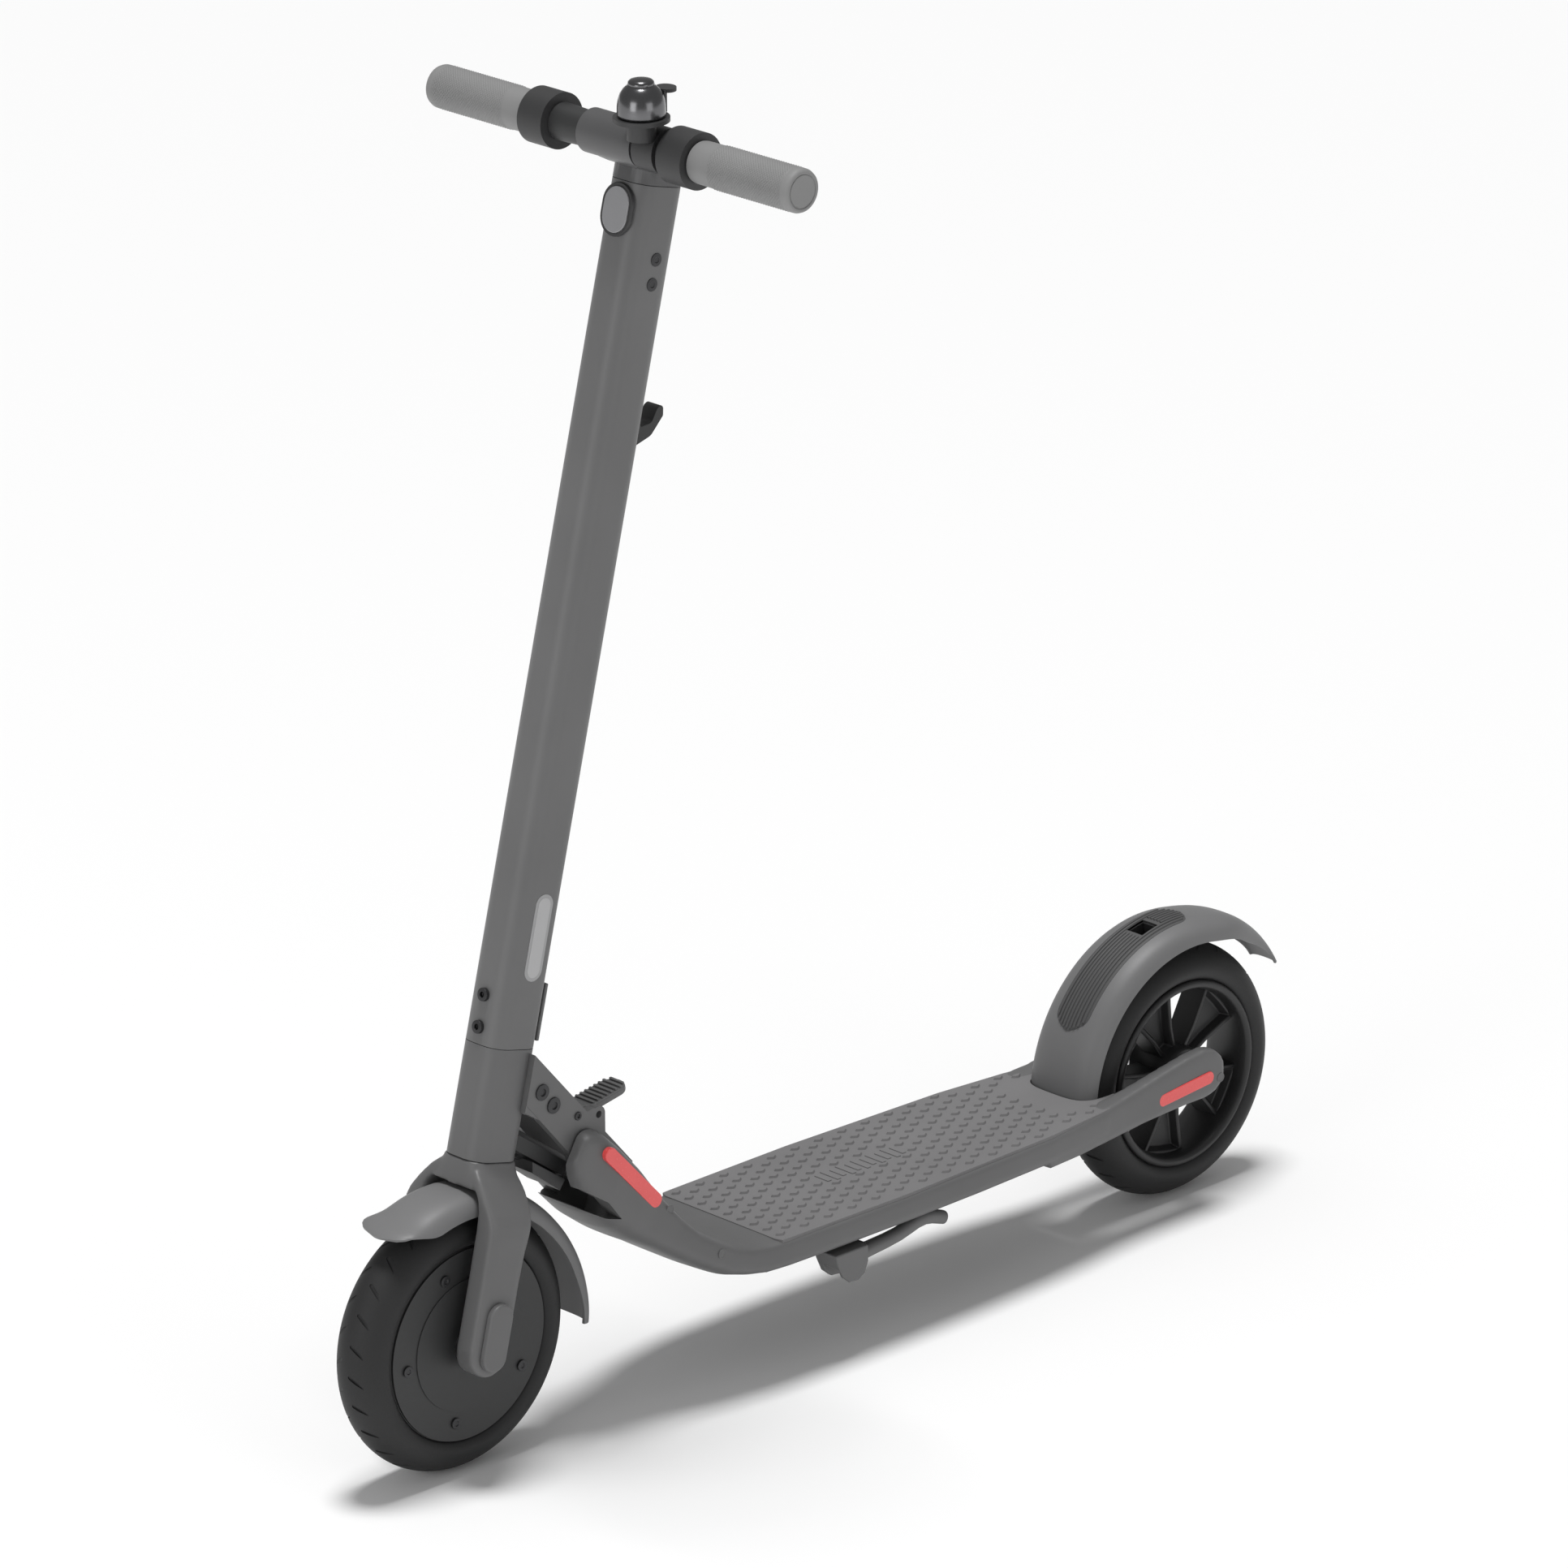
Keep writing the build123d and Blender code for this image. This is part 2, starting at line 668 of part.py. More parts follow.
with BuildPart() as front_axle:
    with BuildSketch(hub_side(front_x)):
        Circle(axle_radius)
    extrude(amount=leg_inner + leg_thickness - 4, both=True)
    for hand in (-1, 1):
        with BuildSketch(hub_side(front_x, hand * (motor_half_width + 1.4))):
            Circle(9.5)
        extrude(amount=-hand * (leg_inner - motor_half_width - 1.4 - snug))
save(front_axle, "front_axle")

# ---------------------------------------------------------------- fork
leg_end = leg_depth / 2
leg_outer = leg_inner + leg_thickness
arch_s = tyre_radius + fender_gap + 4.2
shoulder_s = crown_s - 30

crown_low = shoulder_s - 16
with BuildPart() as fork_crown:
    with BuildSketch(stem_front(-60)):
        with BuildLine():
            FilletPolyline((stem_width / 2, crown_s), (stem_width / 2 - 0.5, crown_s - 8),
                           (leg_outer - 1, shoulder_s), (leg_outer, crown_low), (leg_inner, crown_low),
                           (leg_inner, arch_s - 13), (leg_inner - 9, arch_s - 1), (-leg_inner + 9, arch_s - 1),
                           (-leg_inner, arch_s - 13), (-leg_inner, crown_low), (-leg_outer, crown_low), (-leg_outer + 1, shoulder_s),
                           (-stem_width / 2 + 0.5, crown_s - 8), (-stem_width / 2, crown_s),
                           radius=[0, 4, 9, 0, 0, 3, 6, 6, 3, 0, 0, 9, 4, 0], close=True)
        make_face()
    extrude(amount=130)
    with BuildSketch(stem_side()):
        with BuildLine():
            FilletPolyline((stem_depth / 2, crown_s), (stem_depth / 2 - 0.5, crown_s - 10),
                           (leg_offset + leg_end, shoulder_s - 4), (leg_offset + leg_end, crown_low),
                           (leg_offset - leg_end, crown_low), (leg_offset - leg_end, shoulder_s - 4),
                           (-stem_depth / 2 + 0.5, crown_s - 10), (-stem_depth / 2, crown_s),
                           radius=[0, 10, 20, 0, 0, 20, 10, 0], close=True)
        make_face()
    extrude(amount=leg_outer + 1, both=True, mode=Mode.INTERSECT)

with BuildPart() as fork:
    for hand in (-1, 1):
        with BuildSketch(stem_cut(-leg_end, leg_offset, hand * (leg_inner + leg_thickness / 2))):
            RectangleRounded(leg_depth, leg_thickness, 9)
        extrude(amount=leg_end + shoulder_s - 8)
    with BuildSketch(stem_side()):
        with Locations((leg_offset, 0)):
            Circle(leg_end)
        with Locations((leg_offset, crown_s / 2)):
            Rectangle(leg_depth, crown_s)
    extrude(amount=leg_outer + 1, both=True, mode=Mode.INTERSECT)
    add(fork_crown.part)
    with BuildSketch(hub_side(front_x)):
        Circle(axle_radius + snug)
    extrude(amount=leg_outer - 3.9, both=True, mode=Mode.SUBTRACT)
save(fork, "fork")

with BuildPart() as axle_covers:
    for hand in (-1, 1):
        with BuildSketch(stem_side(hand * (leg_outer + snug))):
            with Locations((leg_offset, 15)):
                SlotOverall(58, 25, rotation=90)
        extrude(amount=-hand * 6)
    ends = axle_covers.faces().filter_by(Axis.Y).group_by(lambda f: round(abs(f.center().Y), 1))[-1]
    fillet(ends.edges(), 2.5)
save(axle_covers, "axle_covers")

front_fender_radius = tyre_radius + fender_gap + fender_wall
with BuildPart() as front_fender:
    add(arch(front_fender_radius, fender_wall, fender_half_width, 17, front_x))
    revolve(axis=axle_line(front_x), revolution_arc=360)
    with BuildSketch(hub_side(front_x)):
        with BuildLine():
            Polyline((0, 0), (50, 90), (81, 120), (81, 180), (-200, 180), (-200, -17), (-126, -17), (-108, 0),
                     close=True)
        make_face()
    extrude(amount=deck_half_width, both=True, mode=Mode.INTERSECT)
save(front_fender, "front_fender")

# ---------------------------------------------------------------- head tube and fold bracket
steerer_radius = 14.0
headset_outer = 19.5
headset_width = 9.0
head_low = crown_s + run
head_high = stem_low - run

bracket_top = [(px + 108, pz + 150), (px + 94.5, pz + 137), (px + 17, pz + 47), (px - 14, pz + 11)]
bracket_low = [(px + 12, pz - 11.5), (px + 47, pz + 27), (px + 105, pz + 96), (px + 118, pz + 96)]

bracket_root = -stem_depth / 2 + 11
pedal_pin_at = (px + 23, pz + 63)
pedal_pin_radius = 3.0
with BuildPart() as fold_bracket:
    for hand in (-1, 1):
        with BuildSketch(side(hand * (bracket_half - plate_thickness / 2))):
            Polygon(*bracket_top, *bracket_low, align=None)
            with Locations((px, pz)):
                Circle(eye_radius)
            with Locations(pedal_pin_at):
                Circle(7)
            Polygon((px + 16, pz + 40), (px + 40, pz + 68), (px + 28.5, pz + 70), (px + 16, pz + 64), align=None)
        extrude(amount=plate_thickness / 2, both=True)
    # the web that joins the plates on top, and the root on the tube
    with BuildSketch(side()):
        Polygon((px + 108, pz + 150), (px + 94.5, pz + 137), (px + 55, pz + 91.3), (px + 59, pz + 88),
                (px + 98, pz + 133), (px + 110, pz + 140), align=None)
        Polygon((px + 108, pz + 150), (px + 85, pz + 126), (px + 85, pz + 74), (px + 118, pz + 96), align=None)
    extrude(amount=bracket_half - 0.5, both=True)
    with BuildSketch(stem_side()):
        with Locations((bracket_root - 150, crown_s)):
            Rectangle(300, 400)
    extrude(amount=bracket_half + 1, both=True, mode=Mode.INTERSECT)

with BuildPart() as head_tube:
    with BuildSketch(stem_cut(head_low)):
        RectangleRounded(stem_depth, stem_width, stem_corner)
    extrude(amount=head_high - head_low)
    add(fold_bracket.part)
    with BuildSketch(stem_cut(head_low)):
        Circle(steerer_radius + 1.5)
    extrude(amount=head_high - head_low, mode=Mode.SUBTRACT)
    for s in (head_low, head_high - headset_width):
        with BuildSketch(stem_cut(s)):
            Circle(headset_outer + snug)
        extrude(amount=headset_width, mode=Mode.SUBTRACT)
    with BuildSketch(side()):
        with Locations((px, pz)):
            Circle(pivot_radius + bore)
        with Locations(pedal_pin_at):
            Circle(pedal_pin_radius + bore)
    extrude(amount=deck_half_width, both=True, mode=Mode.SUBTRACT)
save(head_tube, "head_tube")

with BuildPart() as headset_bearings:
    for s in (head_low, head_high - headset_width):
        with BuildSketch(stem_cut(s)):
            Circle(headset_outer)
            Circle(steerer_radius + bore, mode=Mode.SUBTRACT)
        extrude(amount=headset_width)
save(headset_bearings, "headset_bearings")

with BuildPart() as steerer:
    with BuildSketch(stem_cut(crown_s + snug)):
        Circle(steerer_radius)
        Circle(steerer_radius - 3, mode=Mode.SUBTRACT)
    extrude(amount=head_tube_length + 30)
save(steerer, "steerer")

fold_screws_at = [(px + 86, pz + 99.5), (px + 73, pz + 85)]
with BuildPart() as fold_screws:
    for hand in (-1, 1):
        with BuildSketch(side(hand * (bracket_half + snug))):
            with Locations(*fold_screws_at):
                Circle(7.5)
        extrude(amount=-hand * 1.2)
        with BuildSketch(side(hand * (bracket_half + snug))):
            with Locations((px + 45, pz + 68)):
                Circle(4)
        extrude(amount=-hand * 0.8)
save(fold_screws, "fold_screws")

# ---------------------------------------------------------------- the fold's lock
lock_fall = 36.3
lock_dir = Vector(-math.cos(math.radians(lock_fall)), 0, -math.sin(math.radians(lock_fall)))
lock_start = (rear_x + px + 92, 0, pz + 50)
lock_plane = Plane(origin=lock_start, x_dir=(0, 1, 0), z_dir=lock_dir)
turning_room = 9.5
barrel_radius = 11.0
barrel_length = 56.0
bolt_radius = 5.0

with BuildPart() as lock_barrel:
    with BuildSketch(lock_plane.offset(-12)):
        Rectangle(26, 12)
        Circle(barrel_radius)
    extrude(amount=barrel_length + 12)
    with BuildSketch(lock_plane.offset(-1)):
        Circle(bolt_radius + bore)
    extrude(amount=barrel_length + 2, mode=Mode.SUBTRACT)
    # keep clear of the head tube's rear face
    with BuildSketch(stem_side()):
        with Locations((-stem_depth / 2 + 20 - snug, pivot_s)):
            Rectangle(40, 300)
        with Locations((-stem_depth / 2 + 20 - turning_room, crown_s - 58)):
            Rectangle(40, 120)
    extrude(amount=40, both=True, mode=Mode.SUBTRACT)
save(lock_barrel, "lock_barrel")

with BuildPart() as lock_bolt:
    with BuildSketch(lock_plane.offset(10)):
        Circle(bolt_radius)
    extrude(amount=barrel_length - 6)
save(lock_bolt, "lock_bolt")

with BuildPart() as lower_guard:
    with BuildSketch(side()):
        with BuildLine():
            Polyline((px + 90, pz + 38), (px + 90, pz + 28), (px + 60, pz + 4), (px + 54, pz + 12), close=True)
        make_face()
    extrude(amount=bracket_half - plate_thickness - snug, both=True)
    with BuildSketch(stem_side()):
        with Locations((-stem_depth / 2 + 20 - snug, pivot_s)):
            Rectangle(40, 300)
    extrude(amount=40, both=True, mode=Mode.SUBTRACT)
    add(lock_barrel.part, mode=Mode.SUBTRACT)
save(lower_guard, "lower_guard")

# ---------------------------------------------------------------- fold pedal
pedal_half = bracket_half - plate_thickness - run

with BuildPart() as fold_pedal:
    with BuildSketch(side()):
        with BuildLine():
            FilletPolyline((px + 23, pz + 68), (px - 4, pz + 84), (px - 9, pz + 80), (px - 7, pz + 76),
                           (px + 20, pz + 58.5), radius=[0, 2, 2, 2, 0], close=True)
        make_face()
        with Locations(pedal_pin_at):
            Circle(5.5)
    extrude(amount=pedal_half, both=True)
    with BuildSketch(side()):
        with Locations(pedal_pin_at):
            Circle(pedal_pin_radius)
    extrude(amount=bracket_half - 0.5, both=True)
save(fold_pedal, "fold_pedal")

# ---------------------------------------------------------------- stem
with BuildPart() as stem_tube:
    with BuildSketch(stem_cut(stem_low)):
        RectangleRounded(stem_depth, stem_width, stem_corner)
    extrude(amount=stem_length)
    with BuildSketch(stem_cut(stem_low)):
        RectangleRounded(stem_depth - 2 * stem_wall, stem_width - 2 * stem_wall, stem_corner - stem_wall)
    extrude(amount=stem_length, mode=Mode.SUBTRACT)
    # the foot that clamps the steerer
    with BuildSketch(stem_cut(stem_low)):
        RectangleRounded(stem_depth - 2 * stem_wall + 1, stem_width - 2 * stem_wall + 1, stem_corner - stem_wall)
        Circle(steerer_radius + snug, mode=Mode.SUBTRACT)
    extrude(amount=26)
save(stem_tube, "stem_tube")

battery_start = stem_low + 60.0
battery_length = 470.0
with BuildPart() as battery_pack:
    with BuildSketch(stem_cut(battery_start)):
        RectangleRounded(stem_depth - 2 * stem_wall - 1, stem_width - 2 * stem_wall - 1, stem_corner - stem_wall - 0.5)
    extrude(amount=battery_length)
save(battery_pack, "battery_pack")

back_t = -stem_depth / 2
with BuildPart() as strip_cover:
    with BuildSketch(stem_cut(stem_low + 118)):
        with Locations((back_t - 1.2 - snug, 0)):
            RectangleRounded(2.4, 18, 1)
    extrude(amount=96)
save(strip_cover, "strip_cover")

with BuildPart() as charge_socket:
    with BuildSketch(stem_cut(stem_low + 12)):
        with Locations((back_t - 1.5 - snug, 0)):
            Rectangle(3, 20)
    extrude(amount=38)
save(charge_socket, "charge_socket")

flap_hinge_s = stem_low + 7.0
with BuildPart() as charge_flap:
    with BuildSketch(stem_cut(flap_hinge_s - 3)):
        with Locations((back_t - 5.2, 0)):
            RectangleRounded(3.6, 24, 1.6)
    extrude(amount=48)
save(charge_flap, "charge_flap")

hook_s = crown_s + 617.0
with BuildPart() as stem_hook:
    with BuildSketch(stem_side()):
        with BuildLine():
            FilletPolyline((back_t - snug, hook_s - 24), (back_t - 6, hook_s - 22), (back_t - 20, hook_s - 14),
                           (back_t - 30, hook_s + 3), (back_t - 28, hook_s + 12), (back_t - 22, hook_s + 10),
                           (back_t - 18, hook_s - 3), (back_t - 6, hook_s - 7), (back_t - 4, hook_s + 24),
                           (back_t - snug, hook_s + 24),
                           radius=[4, 10, 3, 3, 6, 5, 1.5, 1], close=False)
            Line((back_t - snug, hook_s + 24), (back_t - snug, hook_s - 24))
        make_face()
    extrude(amount=8, both=True)
save(stem_hook, "stem_hook")

with BuildPart() as stem_screws:
    for s in stem_screw_heights:
        with BuildSketch(Plane(origin=on_stem(s, stem_depth / 2), x_dir=(0, 1, 0), z_dir=(cos_r, 0, sin_r)).offset(-1)):
            Circle(5.5)
        extrude(amount=4)
    add(stem_tube.part, mode=Mode.SUBTRACT)
save(stem_screws, "stem_screws")

# ---------------------------------------------------------------- bar, clamp and dash
sleeve_outer = 15.8
sleeve_inner = 14.6
with BuildPart() as handlebar:
    with BuildSketch(Plane(origin=(bar[0], 0, bar[2]), x_dir=(0, 1, 0), z_dir=(1, 0, 0))):
        with BuildLine():
            Polyline((0, 0), (0, sleeve_inner), (clamp_half, sleeve_inner), (collar_inner, sleeve_outer),
                     (collar_inner, bar_radius), (bar_half_width - 4, bar_radius), (bar_half_width - 4, 0), close=True)
        make_face()
        mirror(about=Plane.YZ)
    revolve(axis=Axis((bar[0], 0, bar[2]), (0, 1, 0)))
save(handlebar, "handlebar")

with BuildPart() as bar_clamp:
    with BuildSketch(stem_cut(stem_high + run)):
        RectangleRounded(stem_depth, stem_width, stem_corner)
    extrude(amount=14)
    with BuildSketch(stem_side()):
        with BuildLine():
            Polyline((-stem_depth / 2 + 2, stem_high + 12), (stem_depth / 2, stem_high + 12),
                     (stem_depth / 2 + 12, stem_high + 15), (bar_t + 4, bar_s - 12), (bar_t, bar_s + 10),
                     (bar_t - 12, bar_s + 12), (-stem_depth / 2 + 2, stem_high + 24), close=True)
        make_face()
    extrude(amount=stem_width / 2 - 2, both=True)
    with BuildSketch(bar_cut()):
        Circle(clamp_radius)
    extrude(amount=clamp_half, both=True)
    with BuildSketch(bar_cut()):
        Circle(sleeve_inner + snug)
    extrude(amount=clamp_half + 1, both=True, mode=Mode.SUBTRACT)
save(bar_clamp, "bar_clamp")

for hand, side_name, name in ((1, "left", "brake"), (-1, "right", "throttle")):
    inner = hand * (collar_inner + snug)
    with BuildPart() as grip:
        with BuildSketch(bar_cut(hand * (grip_start + 0.2))):
            Circle(grip_radius)
        extrude(amount=-hand * (grip_length - 0.2))
        rim = grip.faces().sort_by(Axis.Y)[-1 if hand > 0 else 0].edges()
        fillet(rim, 4)
        with BuildSketch(bar_cut(hand * (grip_start + 0.2))):
            Circle(bar_radius + snug)
        extrude(amount=-hand * (grip_length - 4), mode=Mode.SUBTRACT)
    save(grip, f"grip_{side_name}")

    with BuildPart() as housing:
        with BuildSketch(bar_cut(inner)):
            Circle(collar_radius)
            Circle(bar_radius + snug, mode=Mode.SUBTRACT)
        extrude(amount=-hand * collar_width)
        with BuildSketch(bar_cut(inner + hand * 4)):
            Circle(collar_radius - 3)
            Circle(bar_radius + 1, mode=Mode.SUBTRACT)
        extrude(amount=-hand * (collar_width - 8), mode=Mode.SUBTRACT)
        with BuildSketch(bar_cut(inner + hand * 4)):
            with BuildLine():
                Polyline((0, 0), (-60, 14), (-60, -60), (6, -60), close=True)
            make_face()
            Circle(bar_radius + 1, mode=Mode.SUBTRACT)
        extrude(amount=-hand * (collar_width - 8), mode=Mode.SUBTRACT)
    save(housing, f"{name}_housing")

    with BuildPart() as paddle:
        with BuildSketch(bar_cut(inner + hand * 4.4)):
            Circle(collar_radius - 3.6)
            with BuildLine():
                Polyline((-14, 0), (-46, -14), (-43, -21), (-8, -14), close=True)
            make_face()
            Circle(bar_radius + 1.1, mode=Mode.SUBTRACT)
        extrude(amount=-hand * (collar_width - 8.8))
    save(paddle, f"{name}_paddle")

dash_plane = Plane(origin=on_stem(bar_s + 9, bar_t - 42), x_dir=(0, -1, 0), z_dir=(-0.36, 0, 0.933))
with BuildPart() as dash:
    with BuildSketch(dash_plane):
        RectangleRounded(40, 58, 14)
    extrude(amount=-9)
    with BuildSketch(dash_plane):
        with Locations((0, -20)):
            Circle(5.0 + run)
    extrude(amount=-3, mode=Mode.SUBTRACT)
    add(bar_clamp.part, mode=Mode.SUBTRACT)
    with BuildSketch(bar_cut()):
        Circle(clamp_radius + snug)
    extrude(amount=60, both=True, mode=Mode.SUBTRACT)
    add(dash.solids().sort_by(SortBy.VOLUME)[-1], mode=Mode.INTERSECT)
save(dash, "dash")

with BuildPart() as power_button:
    with BuildSketch(dash_plane.offset(-2)):
        with Locations((0, -20)):
            Circle(5.0)
    extrude(amount=2.8)
save(power_button, "power_button")

# ---------------------------------------------------------------- headlight
light_s = bar_s - 58.0
front_t = stem_depth / 2
with BuildPart() as headlight_bezel:
    with BuildSketch(stem_front(front_t + snug)):
        with Locations((0, light_s)):
            SlotOverall(44, 34, rotation=90)
            SlotOverall(38, 28, rotation=90, mode=Mode.SUBTRACT)
    extrude(amount=3)
save(headlight_bezel, "headlight_bezel")

with BuildPart() as headlight_lens:
    with BuildSketch(stem_front(front_t + snug)):
        with Locations((0, light_s)):
            SlotOverall(38 - 2 * snug, 28 - 2 * snug, rotation=90)
    extrude(amount=4)
save(headlight_lens, "headlight_lens")

# ---------------------------------------------------------------- bell
bell_y = 46.0
bell_x = bar[0] + 18
bell_z = bar[2] + 31
dome_radius = 18.8
with BuildPart() as bell_base:
    with BuildSketch(bar_cut(bell_y - 12)):
        Circle(sleeve_outer + 3.4)
    extrude(amount=-24)
    with BuildSketch(Plane(origin=(bell_x, bell_y, bell_z))):
        Circle(23)
    extrude(amount=-3.5)
    with BuildSketch(Plane(origin=(bell_x, bell_y, bell_z - 1))):
        Circle(12)
    extrude(amount=-18)
    with BuildSketch(bar_cut(bell_y)):
        Circle(sleeve_outer + snug)
    extrude(amount=30, both=True, mode=Mode.SUBTRACT)
save(bell_base, "bell_base")

with BuildPart() as bell_dome:
    with BuildSketch(Plane(origin=(bell_x, bell_y, bell_z + snug), x_dir=(1, 0, 0), z_dir=(0, -1, 0))):
        with BuildLine():
            FilletPolyline((0, 0), (dome_radius, 0), (dome_radius, 26), (10.5, 26), (10.5, 31), (0, 31),
                           radius=[0, 0, 8, 0.2, 4, 0], close=True)
        make_face()
    revolve(axis=Axis((bell_x, bell_y, bell_z), (0, 0, 1)))
save(bell_dome, "bell_dome")

with BuildPart() as bell_lever:
    with BuildSketch(Plane(origin=(bell_x, bell_y, bell_z + 0.3))):
        with Locations((-21, 0)):
            Rectangle(3, 12)
    extrude(amount=18)
    with BuildSketch(Plane(origin=(bell_x, bell_y, bell_z + 16))):
        with Locations((-27, 0)):
            Ellipse(8, 9)
    extrude(amount=3)
save(bell_lever, "bell_lever")
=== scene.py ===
import math

import bmesh
import bpy
import json
from mathutils import Matrix, Vector


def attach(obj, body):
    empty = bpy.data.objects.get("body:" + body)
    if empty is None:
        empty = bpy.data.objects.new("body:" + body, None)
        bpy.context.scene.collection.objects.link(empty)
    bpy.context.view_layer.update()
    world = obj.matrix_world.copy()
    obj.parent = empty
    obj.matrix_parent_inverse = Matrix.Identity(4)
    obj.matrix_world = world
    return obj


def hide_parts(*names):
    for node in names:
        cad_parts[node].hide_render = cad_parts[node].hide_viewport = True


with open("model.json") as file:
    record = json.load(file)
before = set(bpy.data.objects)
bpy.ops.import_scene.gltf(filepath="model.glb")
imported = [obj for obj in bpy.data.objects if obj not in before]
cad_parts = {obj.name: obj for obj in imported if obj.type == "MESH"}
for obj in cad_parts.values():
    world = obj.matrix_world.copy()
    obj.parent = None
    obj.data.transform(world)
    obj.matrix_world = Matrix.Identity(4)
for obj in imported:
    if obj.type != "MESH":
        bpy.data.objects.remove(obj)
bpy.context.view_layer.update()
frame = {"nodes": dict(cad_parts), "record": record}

# ------------------------------------------------------------------ the scooter's main stations, in metres
rear_x = -0.40685
front_x = 0.43215
axle_z = 0.1143
rake = math.radians(14.3)
up_stem = Vector((-math.sin(rake), 0, math.cos(rake)))
ahead = Vector((math.cos(rake), 0, math.sin(rake)))
front_axle = Vector((front_x, 0, axle_z))
rear_axle = Vector((rear_x, 0, axle_z))
across = Vector((0, 1, 0))


def on_stem(s, t, y=0.0):
    """A point s up the steering axis, t ahead of it and y to the left, all in metres."""
    return front_axle + up_stem * s + ahead * t + across * y


bar = on_stem(0.9958, 0.0392)
node_body = {}
for body_name, members in frame["record"]["behaviour"]["bodies"].items():
    for member in members:
        node_body[member] = body_name


# the rear fender's outside: crown radius, half width, and how far its sides fall below the crown
rear_crown = 0.1400
rear_half = 0.037
rear_drop = 0.0178
# the step pad stands this far out from the axle, and its hook pocket is at this angle
pad_crown = rear_crown + 0.0008
catch_angle = math.radians(90 - 78)
noon_power = 2.35
world_power = 0.30

# ------------------------------------------------------------------ camera, floor and light
def look(place, target, roll):
    """A camera's matrix: it stands at place, looks at target and leans by roll."""
    ahead_way = (target - place).normalized()
    right_way = ahead_way.cross(Vector((0, 0, 1))).normalized()
    down_way = ahead_way.cross(right_way)
    right = right_way * math.cos(roll) + down_way * math.sin(roll)
    down = down_way * math.cos(roll) - right_way * math.sin(roll)
    matrix = Matrix((right, -down, -ahead_way)).transposed().to_4x4()
    matrix.translation = place
    return matrix


camera_data = bpy.data.cameras.new("studio_camera")
camera_data.sensor_width = 36
camera_data.lens = 238.34
camera_data.clip_end = 100
camera = bpy.data.objects.new("studio_camera", camera_data)
camera.matrix_world = look(Vector((5.62585, 5.8321, 3.4528)), Vector((0.0634, 0.0156, 0.5022)), 0.009)
bpy.context.scene.collection.objects.link(camera)
bpy.context.scene.camera = camera

bpy.context.scene.view_settings.view_transform = "Standard"


def lamp(name, place, target, width, height, power):
    """A soft rectangular studio light."""
    data = bpy.data.lights.new(name, "AREA")
    data.shape = "RECTANGLE"
    data.size = width
    data.size_y = height
    data.energy = power
    made = bpy.data.objects.new(name, data)
    made.location = place
    made.rotation_euler = (Vector(target) - Vector(place)).to_track_quat("-Z", "Y").to_euler()
    bpy.context.scene.collection.objects.link(made)
    return made


noon = bpy.data.lights.new("overhead", "SUN")
noon.energy = noon_power
noon.angle = 0.30
noon_lamp = bpy.data.objects.new("overhead", noon)
noon_lamp.rotation_euler = (0.05, -0.04, 0)
bpy.context.scene.collection.objects.link(noon_lamp)
lamp("front_fill", (4.4, 0.6, 1.6), (0.2, 0, 0.5), 2.0, 2.0, 30)
lamp("side_fill", (0.4, 4.6, 1.6), (0.0, 0, 0.5), 2.4, 1.8, 17)

world = bpy.data.worlds.new("studio")
world.use_nodes = True
world.node_tree.nodes["Background"].inputs["Color"].default_value = (1, 1, 1, 1)
world.node_tree.nodes["Background"].inputs["Strength"].default_value = world_power
bpy.context.scene.world = world

floor_material = bpy.data.materials.new("pale_floor")
floor_material.use_nodes = True
floor_shader = floor_material.node_tree.nodes["Principled BSDF"]
floor_shader.inputs["Base Color"].default_value = (0.93, 0.93, 0.93, 1)
floor_shader.inputs["Roughness"].default_value = 0.8
floor_mesh = bmesh.new()
bmesh.ops.create_grid(floor_mesh, x_segments=1, y_segments=1, size=40)
floor_data = bpy.data.meshes.new("floor")
floor_mesh.to_mesh(floor_data)
floor_mesh.free()
floor = bpy.data.objects.new("floor", floor_data)
floor_data.materials.append(floor_material)
bpy.context.scene.collection.objects.link(floor)


